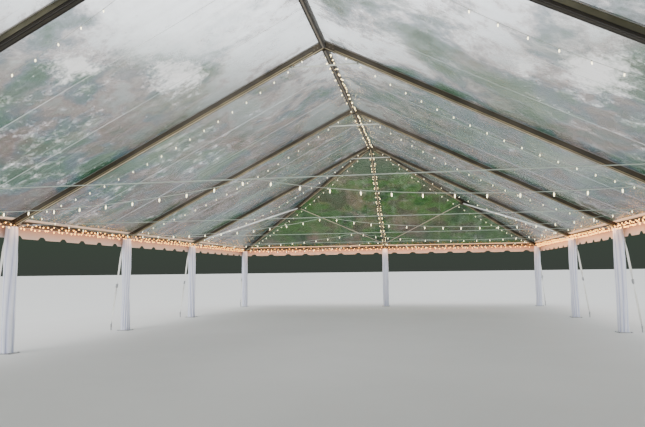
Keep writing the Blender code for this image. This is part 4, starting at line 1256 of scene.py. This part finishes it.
class Sheet:
    """A roof sheet between two edges on a slope. left and right give its sides at a rise."""

    def __init__(self, slope, left, right, high, seed, spans=1, sag=0.030):
        self.slope, self.left, self.right = slope, left, right
        self.high, self.seed, self.spans, self.sag = high, seed, spans, sag

    def lift(self, along, rise):
        """How far the sheet hangs below its flat plane."""
        left = self.left(rise)
        width = np.maximum(self.right(rise) - left, 1e-4)
        share = np.clip((along - left) / width, 0.0, 1.0)
        across = np.abs(np.sin(math.pi * share * self.spans)) ** 0.9
        height = np.clip((rise - BEAM_RISE) / (self.high - BEAM_RISE), 0.0, 1.0)
        down = np.clip(np.sin(math.pi * height), 0.0, 1.0) ** 0.6
        calm = across * down * np.clip(width / self.spans / 3.0, 0.0, 1.0)
        return -self.sag * calm + 0.0045 * ripple(along, rise, self.seed) * calm

    def strip(self, shape, along, rise, thickness, finish):
        """A thin closed piece of the sheet over a grid of places on the slope."""
        along, rise = np.broadcast_arrays(along, rise)
        middle = self.slope.point(along, rise, self.lift(along, rise))
        shell(shape, middle, self.slope.normal, thickness, np.stack([along, rise], axis=-1), finish)

    def across(self, rise, step, inset):
        """Places from side to side at each rise, about a step apart."""
        left, right = self.left(rise), self.right(rise)
        count = int(float(np.max(right - left)) / step) + 2
        return left + inset + (right - left - 2 * inset) * np.linspace(0.0, 1.0, count)[None, :]

    def whole(self, shape, step=0.11):
        rise = np.linspace(LOW_RISE, self.high, int((self.high - LOW_RISE) / step) + 2)[:, None]
        self.strip(shape, self.across(rise, step, 0.0), rise, SHEET_THICK, 0)

    def band(self, shape, centre, width, high, thickness, finish, step=0.16):
        """A band up the slope from the eave, its centre line given for each rise."""
        rise = np.linspace(LOW_RISE, high, max(2, int((high - LOW_RISE) / step) + 1))[:, None]
        self.strip(shape, centre(rise) + np.array([-0.5, 0.5])[None, :] * width, rise, thickness, finish)

    def hem(self, shape, high):
        """A band along the eave."""
        rise = np.linspace(LOW_RISE, high, 3)[:, None]
        self.strip(shape, self.across(rise, 0.14, 0.001), rise, HEM_THICK, HEM_FINISH)

    def top_of_seam(self, along):
        """How high a seam up the slope reaches before it meets the sheet's slanting side."""
        top = self.high
        while self.right(np.array(top)) - 0.05 < along or self.left(np.array(top)) + 0.05 > along:
            top -= 0.02
            if top < LOW_RISE + 0.3:
                break
        return top


def dress_sheet(name, sheet, seams, edges, vinyl=VINYL, lap=WELD):
    """The clear sheet with its welded laps, keder edges and eave hem."""
    clear, trim = Shape(), Shape()
    sheet.whole(clear)
    piece = clear.fit(name + "_clear", [vinyl], 80, "clear_vinyl", [name])
    for along in seams:
        top = sheet.top_of_seam(along)
        if top > LOW_RISE + 0.5:
            sheet.band(trim, straight(along), 0.018, top, LAP_THICK, LAP_FINISH)
    for centre, width in edges:
        sheet.band(trim, centre, width, sheet.high, EDGE_THICK, EDGE_FINISH)
    sheet.hem(trim, (HALF_WIDTH - 5.955) / COS)
    hems = trim.fit(name + "_hems", [HEM_VINYL, lap, KEDER_EDGE], 80, "white_vinyl", [name])


def side_slope(side, middle_y):
    return Slope((side * HALF_WIDTH, middle_y, EAVE_HEIGHT), (0, side, 0), (-side * COS, 0, SIN))


def roof_over_bays():
    half = BAY_LENGTH / 2 - NEAR
    seed = 0
    for side, word in SIDES:
        for bay in range(3):
            slope = side_slope(side, FRAME_YS[bay] + BAY_LENGTH / 2)
            sheet = Sheet(slope, straight(-half), straight(half), TOP_RISE - 0.003, seed)
            edges = [(straight(s * (half - 0.004)), 0.024) for s in (-1, 1)]
            dress_sheet(f"roof_{word}_{bay + 1}", sheet, (-half / 3, half / 3), edges)
            seed += 1


def roof_over_hips():
    run = HIP_LENGTH * COS / HALF_WIDTH
    far = HIP_LENGTH - LOW_RISE * run - SEAM
    peak = (HIP_LENGTH - NEAR - SEAM) / run
    top = (HIP_LENGTH - NEAR) / COS

    def hip_line(rise):
        return np.maximum(far - (rise - LOW_RISE) * run, NEAR + 0.002)

    def half_at(rise):
        return HALF_WIDTH - rise * run - SEAM

    seed = 10
    for end, end_word in ENDS:
        for side, word in SIDES:
            flip = side * end
            left, right = straight(NEAR), hip_line
            if flip < 0:
                left, right = (lambda rise: -hip_line(rise)), straight(-NEAR)
            sheet = Sheet(side_slope(side, end * HALF_BAYS), left, right, peak - 0.012, seed)
            seams = [flip * (NEAR + 1.487 * k) for k in range(1, 5)]
            edges = [(straight(flip * (NEAR + 0.004)), 0.024),
                     (lambda rise, f=flip: f * (hip_line(rise) - 0.022), 0.040)]
            dress_sheet(f"roof_{end_word}_{word}", sheet, seams, edges)
            seed += 1
        slope = Slope((0, end * END_Y, EAVE_HEIGHT), (-end, 0, 0), (0, -end * COS, SIN))
        sheet = Sheet(slope, lambda rise: -half_at(rise), half_at, top - 0.004, seed, spans=2)
        edges = [(lambda rise, s=s: s * (half_at(rise) - 0.022), 0.040) for s in (-1, 1)]
        dress_sheet(f"roof_{end_word}_end", sheet, (-2.2305, 2.2305), edges,
                    END_VINYL, END_WELD)
        seed += 1


roof_over_bays()
roof_over_hips()


# Valance

def scallop_rise(place):
    """How far the valance's lower edge is cut up at a place along it."""
    offset = np.abs((place / SCALLOP) % 1.0 - 0.5) * SCALLOP
    share = np.clip((0.142 - offset) / (0.142 - 0.052), 0.0, 1.0)
    return 0.062 * share * share * (3 - 2 * share)


def valance(name, start, direction, outward, length):
    """A strip with bell-shaped cuts along its lower edge, bound and slightly wavy."""
    start, direction, outward = (np.array(v, float) for v in (start, direction, outward))
    count = int(length / 0.0381) + 1
    place = np.linspace(-length / 2, length / 2, count)
    low = VALANCE_LOW + scallop_rise(place)

    def strip(shape, height, share, thickness):
        """The strip at rows of heights; share is how freely each row swings, from 0 at its top to 1."""
        where = np.broadcast_to(place, height.shape)
        swing = (0.0030 * np.sin(where * 5.1 + 0.6) + 0.0022 * np.sin(where * 13.7)
                 + 0.0016 * np.sin(where * 31.0))
        points = (start + where[..., None] * direction + (swing * share ** 1.3)[..., None] * outward
                  + height[..., None] * np.array((0, 0, 1.0)))
        shell(shape, points, outward, thickness, np.stack([where, height], axis=-1))

    cloth, binding = Shape(), Shape()
    shares = np.array([0.0, 0.12, 0.30, 0.50, 0.70, 0.86, 0.95, 1.0])[:, None]
    height = VALANCE_TOP - (VALANCE_TOP - low)[None, :] * shares
    strip(cloth, height, np.broadcast_to(shares, height.shape), 0.0016)
    piece = cloth.fit(name + "_cloth", [VALANCE_WHITE], 60, "white_vinyl", [name])
    # The binding folds over the cut edge, and a sewn tape runs along the top
    top = np.full(count, VALANCE_TOP)
    for edge, share, rise_low, rise_high, thick in ((low, 1.0, -0.002, 0.011, 0.0042),
                                                    (top, 0.0, -0.026, -0.001, 0.0036)):
        pair = np.stack([edge + rise_low, edge + rise_high])
        strip(binding, pair, np.full(pair.shape, share), thick)
    trim = binding.fit(name + "_binding", [VALANCE_BIND], 60, "white_vinyl", [name])


for side, word in SIDES:
    valance(f"valance_{word}", (side * (HALF_WIDTH + VALANCE_OUT + 0.0015), 0, 0), Y, (side, 0, 0),
            2 * (END_Y + VALANCE_OUT + 0.002))
for end, word in ENDS:
    valance(f"valance_{word}", (0, end * (END_Y + VALANCE_OUT + 0.0015), 0), X, (0, end, 0),
            2 * (HALF_WIDTH + VALANCE_OUT - 0.004))


# Legs

def cover_folds(turns, heights, seed, waist):
    """Radius of a gathered cover over turns and heights, and how far each place stands out of the folds."""
    rng = np.random.default_rng(seed)
    turn, height = np.meshgrid(turns, heights)
    phase = rng.uniform(0, 2 * math.pi, 6)
    folds = int(rng.integers(8, 11))
    drift = 0.30 * np.sin(height * rng.uniform(0.8, 1.5) + phase[0])
    bent = turn + 0.30 * np.sin(turn + phase[1]) + 0.13 * np.sin(2 * turn + phase[2] + 0.4 * height) + drift
    pleat = np.abs(np.sin(folds * bent / 2)) ** 0.75
    fine = 0.5 + 0.5 * np.sin(2 * folds * turn.round(6) + 4 * np.sin(turn + phase[3]) + 0.6 * height)
    fine = np.where(turn >= 2 * math.pi - 1e-9, fine[:, :1], fine)
    profile = np.interp(height, [0.0, 0.05, 0.5, 1.2, 1.9, 2.25, 2.33, 2.36, 2.39],
                        [0.121, 0.119, 0.124, 0.126, 0.121, 0.115, 0.110, 0.106, 0.112])
    deep = np.interp(height, [0.0, 0.6, 1.4, 2.2, 2.33, 2.39], [0.026, 0.022, 0.020, 0.018, 0.014, 0.018])
    narrow = 1.0 - waist * np.exp(-((height - 0.95) / 0.42) ** 2)
    radius = (profile - deep * (1 - pleat) - 0.004 * (1 - fine)) * narrow
    radius += 0.0025 * np.sin(9 * height + 3 * np.sin(turn * 3 + phase[4]))
    return turn, height, radius, np.clip(0.18 + 0.82 * pleat ** 1.2 - 0.12 * (1 - fine), 0.0, 1.0)


def cover_mesh(rings, centre, depth, around, heights):
    """A closed skin, 2 mm thick, round rings of points; its UVs are metres round and up."""
    inner = rings + (centre - rings) / np.linalg.norm(centre - rings, axis=-1, keepdims=True) * 0.002
    rows, columns = rings.shape[:2]
    count = rows * columns
    faces, uvs = [], []
    for i in range(rows - 1):
        for j in range(columns):
            k = (j + 1) % columns
            a, b, c, d = i * columns + j, i * columns + k, (i + 1) * columns + k, (i + 1) * columns + j
            low, high = heights[i], heights[i + 1]
            corners = [(around[j], low), (around[j + 1], low), (around[j + 1], high), (around[j], high)]
            faces += [[a, b, c, d], [count + d, count + c, count + b, count + a]]
            uvs += [corners, corners[::-1]]
    for i in (0, rows - 1):
        for j in range(columns):
            a, b = i * columns + j, i * columns + (j + 1) % columns
            faces.append([a, b, count + b, count + a] if i else [b, a, count + a, count + b])
            uvs.append([(around[j], heights[i])] * 4)
    cover = Shape()
    flat_depth = depth.ravel()
    cover.add(np.concatenate([rings.reshape(-1, 3), inner.reshape(-1, 3)]), faces, 0, uvs,
              np.concatenate([flat_depth, flat_depth * 0.6]))
    return cover


def leg(name, x, y, seed, waist):
    """A gathered cover over the post, on a base plate with its pins."""
    columns = 104
    turns = np.arange(columns + 1) * 2 * math.pi / columns
    heights = np.concatenate([np.linspace(0.016, 0.10, 5), np.linspace(0.16, 2.20, 41),
                              np.linspace(2.24, BEAM_BOTTOM - 0.004, 8)])
    turn, height, radius, depth = cover_folds(turns, heights, seed, waist)
    middle = np.stack([x + radius * np.cos(turn), y + radius * np.sin(turn), height], axis=-1)
    middle[:, -1] = middle[:, 0]
    centre = np.array((x, y, 0.0)) + np.stack([0 * height, 0 * height, height], axis=-1)
    cover = cover_mesh(middle[:, :-1], centre[:, :-1], depth[:, :-1], turns * 0.12, heights)
    # fold_depth sets the cover's painted fold shade
    piece = cover.build(f"{name}_cover", [COVER], 80, "fold_depth")
    ride(piece, [name])

    metal = Shape()
    slab(metal, rounded_box(0.320, 0.320, 0.016, 4), 0.0118, (x, y, 0.0061), X, Y, bevel=0.0018)
    tube(metal, [(x, y, 0.010), (x, y, BEAM_BOTTOM - 0.001)], 0.042, 12)
    for w in (-0.132, 0.132):
        for h in (-0.132, 0.132):
            bolt((x + w, y + h, 0.0128), Z)
    metal.fit(f"{name}_plate", [STEEL], 35, "aluminium", [name])


# Guys

GUY_RING_OUT = 0.120 + GAP + 0.011
GUY_TOP = VALANCE_LOW - 0.020 - 0.030
GUY_OUT, GUY_FOOT, RATCHET_HEIGHT = 0.400, 0.100, 1.150


def ribbon(shape, path, side, width, thickness, twist=0.0):
    """A flat strap along a path, with rounded edges; side is its width direction where it starts."""
    path, level = np.asarray(path, float), unit(side)
    shares = np.linspace(0.0, 1.0, len(path))
    half, thick = width / 2, thickness / 2
    section = [(half, thick * 0.4), (half - 0.002, thick), (-half + 0.002, thick), (-half, thick * 0.4)]
    section += [(-w, -h) for w, h in section]
    rings = []
    for turn, point, tangent in zip(twist * (shares + 0.13 * np.sin(2 * math.pi * shares)), path,
                                    directions_along(path)):
        side = level * math.cos(turn) + np.cross(tangent, level) * math.sin(turn)
        face = np.cross(tangent, side)
        rings.append([point + side * w + face * h for w, h in section])
    skin(shape, rings)


def ratchet_parts(metal, ratchet, side, down, face):
    """Cheeks, toothed wheels, handle, and the drum, pins and grip between them."""
    cheek = [(-0.055, -0.010), (-0.040, -0.017), (0.030, -0.017), (0.052, -0.008), (0.055, 0.008),
             (0.030, 0.017), (-0.040, 0.017), (-0.055, 0.010)]
    wheel = []
    for k in range(24):
        radius, turn = (0.0190 if k % 2 else 0.0150), 2 * math.pi * k / 24
        wheel.append((0.010 + radius * math.cos(turn), radius * math.sin(turn)))
    handle = [(-0.052, 0.006), (-0.052, 0.019), (0.020, 0.019), (0.026, 0.004), (0.014, 0.000)]
    for w in (-0.0325, 0.0325):
        for outline, thickness, share, bevel in ((cheek, 0.003, 1.0, 0.0006), (wheel, 0.003, 0.88, 0.0004),
                                                 (handle, 0.0026, 0.78, 0.0005)):
            slab(metal, outline, thickness, ratchet + side * w * share, down, face, bevel=bevel)
    for along, out, radius in ((0.010, 0.0, 0.0105), (-0.046, 0.0, 0.0050), (0.048, 0.0, 0.0050),
                               (-0.046, 0.0145, 0.0070)):
        centre = ratchet + down * along + face * out
        tube(metal, [centre - side * 0.0365, centre + side * 0.0365], radius)


def guy(name, x, y, outward, seed):
    """Strap from a ring on the leg, through a ratchet, to a hook on a driven stake."""
    direction = unit((*outward, 0))
    side, up = np.array((-direction[1], direction[0], 0.0)), np.array((0.0, 0.0, 1.0))
    base = np.array((x, y, 0.0))

    def at(out, height, across=0.0):
        return base + direction * out + side * across + up * height

    top, foot = at(GUY_RING_OUT, GUY_TOP), at(GUY_OUT, GUY_FOOT)
    down = unit(foot - top)
    ratchet = top + (foot - top) * ((GUY_TOP - RATCHET_HEIGHT) / (GUY_TOP - GUY_FOOT))
    face = np.cross(side, down)
    straps = Shape()
    bow = np.random.default_rng(seed).uniform(-0.003, 0.003)
    # Each stretch has a half twist, which keeps it from humming in the wind
    for first, last, width in ((top + down * 0.024, ratchet - down * 0.040, 0.050),
                               (ratchet + down * 0.045, foot + down * -0.075, 0.048)):
        path = [first + (last - first) * t + face * bow * math.sin(math.pi * t)
                for t in np.linspace(0, 1, 25)]
        ribbon(straps, path, side, width, 0.0030, math.pi)
    # The strap's end folds back round the ring and is sewn on itself
    loop = [top + down * along + face * out for along, out in (
        (0.150, 0.0034), (0.060, 0.0036), (0.026, 0.0050), (-0.0060, 0.0065), (-0.0120, 0.0),
        (-0.0060, -0.0065), (0.014, -0.0040), (0.030, -0.0008))]
    ribbon(straps, loop, side, 0.048, 0.0028)
    for k in range(5):
        spot = top + down * (0.055 + 0.020 * k) + face * 0.0052
        slab(straps, rounded_box(0.036, 0.0022, 0.001, 1), 0.0012, spot, side, down, bevel=0.0003)
    straps.fit(f"{name}_strap", [WEBBING], 40, "webbing", [name])

    metal = Shape()
    ring = []
    for t in np.linspace(0.0, 2 * math.pi, 25)[:-1]:
        w = 0.027 * math.copysign(abs(math.sin(t)) ** 0.7, math.sin(t))
        h = 0.016 * math.copysign(abs(math.cos(t)) ** 0.8, math.cos(t))
        ring.append(top + side * w + up * (h + 0.010))
    tube(metal, ring + ring[:2], 0.0042, 8)
    slab(metal, rounded_box(0.058, 0.046, 0.008), 0.004, at(0.1235, GUY_TOP + 0.016), side, up)
    tube(metal, [at(out, GUY_TOP + rise, w) for out, rise, w in (
        (0.122, 0.028, -0.016), (0.137, 0.031, -0.014), (0.137, 0.031, 0.014),
        (0.122, 0.028, 0.016))], 0.0040, 8)
    ratchet_parts(metal, ratchet, side, down, face)
    # Hook on the stake
    hook = [foot - down * 0.078, foot - down * 0.060, foot - down * 0.045 + face * 0.004]
    for t in np.linspace(0.0, math.pi * 1.25, 9):
        hook.append(at(GUY_OUT - 0.020 * math.cos(t), GUY_FOOT - 0.004, 0.020 * math.sin(t)))
    tube(metal, hook, 0.0042, 8)
    slab(metal, rounded_box(0.056, 0.020, 0.006), 0.007, foot - down * 0.080, side, down, bevel=0.002)
    lathe(metal, at(GUY_OUT, 0.0), Z, [
        (0.0, 0.0140), (0.118, 0.0140), (0.126, 0.0185), (0.142, 0.0190), (0.144, 0.0255), (0.152, 0.0260),
        (0.156, 0.0220), (0.157, 0.0100)], 18)
    metal.fit(f"{name}_metal", [STEEL], 38, "webbing", [name])


def legs_and_guys():
    """Every leg with its guy. Corner guys lean out both ways, and two covers are drawn in at the waist."""
    waists = {("left", 4): 0.24, ("right", 5): 0.14}
    places = []
    for side, word in SIDES:
        for number, y in enumerate(LEG_YS, start=1):
            outward = (side, {1: -1, 6: 1}.get(number, 0))
            waist = waists.get((word, number), 0.04)
            places.append((f"{word}_{number}", side * HALF_WIDTH, y, outward, waist))
    places += [(word, 0.0, end * END_Y, (0, end), 0.0) for end, word in ENDS]
    for seed, (word, x, y, outward, waist) in enumerate(places, start=100):
        leg(f"leg_{word}", x, y, seed, waist)
        guy(f"guy_{word}", x, y, outward, seed)


def all_bolts():
    """Every bolt head of the frame, set by one tree from its place and its axis."""
    mesh = bpy.data.meshes.new("bolt_heads")
    mesh.from_pydata([place for place, _ in BOLTS], [], [])
    axis = mesh.attributes.new("axis", "FLOAT_VECTOR", "POINT")
    axis.data.foreach_set("vector", np.array([a for _, a in BOLTS], np.float32).ravel())
    piece = new_object("bolt_heads", mesh)
    grow(piece, BOLTS_ON_POINTS, Finish=BOLT_STEEL)
    ride(piece)


legs_and_guys()
all_bolts()
for pattern in (*BIG, *SMALL, *TINY):
    bpy.data.objects.remove(pattern, do_unlink=True)


# Stage and light

FLOOR_REACH = 900.0
BACKDROP = (
    (0.0, (0.052, 0.062, 0.052)), (0.12, (0.052, 0.080, 0.052)), (0.22, (0.100, 0.150, 0.110)),
    (0.29, (0.48, 0.53, 0.49)), (0.37, (1.9, 2.02, 2.05)), (0.45, (2.6, 2.7, 2.8)), (0.62, (1.2, 1.25, 1.3)))
EAVE_GLOW = (1.0, 0.42, 0.13)


def stage():
    finish = Finish("pale_floor", Roughness=0.9)
    finish.feed(Base_Color=finish.mix(finish.noise(0.8, 5.0), (0.60, 0.60, 0.58), (0.66, 0.66, 0.64)))
    mesh = bpy.data.meshes.new("floor")
    corners = [(x * FLOOR_REACH, y * FLOOR_REACH, 0) for x, y in ((-1, -1), (1, -1), (1, 1), (-1, 1))]
    mesh.from_pydata(corners, [], [(0, 1, 2, 3)])
    mesh.materials.append(finish.material)
    new_object("floor", mesh)

    # A backdrop that is dark near the floor and bright above
    world = bpy.data.worlds.new("studio")
    bpy.context.scene.world = world
    world.use_nodes = True
    tree = world.node_tree
    place = add_node(tree, "ShaderNodeTexCoord").outputs["Generated"]
    height = add_node(tree, "ShaderNodeSeparateXYZ", {0: place}).outputs["Z"]
    colours = add_node(tree, "ShaderNodeValToRGB", {0: height})
    stops = colours.color_ramp.elements
    for stop, (position, colour) in zip(stops, (BACKDROP[0], BACKDROP[-1])):
        stop.position, stop.color = position, (*colour, 1)
    for position, colour in BACKDROP[1:-1]:
        stops.new(position).color = (*colour, 1)
    tree.links.new(colours.outputs[0], tree.nodes["Background"].inputs["Color"])
    tree.nodes["Background"].inputs["Strength"].default_value = 1.0


def lamp(name, kind, energy, colour, place, aim, **settings):
    data = bpy.data.lights.new(name, kind)
    data.energy = energy
    data.color = colour
    for key, value in settings.items():
        setattr(data, key, value)
    light = new_object(name, data)
    light.location = place
    light.rotation_mode = "QUATERNION"
    light.rotation_quaternion = (Vector(aim) - Vector(place)).to_track_quat("-Z", "Y")
    light.visible_camera = False
    return light


def panel(name, energy, colour, place, aim, size, size_y):
    return lamp(name, "AREA", energy, colour, place, aim, shape="RECTANGLE", size=size, size_y=size_y)


stage()
lamp("sky", "SUN", 1.6, (1.0, 0.98, 0.95), (-8, -20, 30), (0, 0, 0), angle=math.radians(40))
panel("front_fill", 12000, (0.97, 0.98, 1.0), (0, -48, 22), (0, 0, 1.2), 60, 26)
panel("floor_bounce", 900, (1.0, 0.98, 0.94), (0, 0, 0.05), (0, 0, 5), 10, 22)
for (side, word), power in zip(SIDES, (40, 80)):
    glow = panel(f"eave_glow_{word}", power, EAVE_GLOW, (side * 5.86, 0, 2.34), (side * 6.3, 0, 2.36),
                 25.6, 0.05)
    glow.rotation_quaternion = Matrix(((0, 0, -side), (1, 0, 0), (0, -side, 0))).to_quaternion()
for end, word in ENDS:
    panel(f"eave_glow_{word}", 40, EAVE_GLOW, (0, end * 12.72, 2.34), (0, end * 13.1, 2.36), 11.8, 0.05)
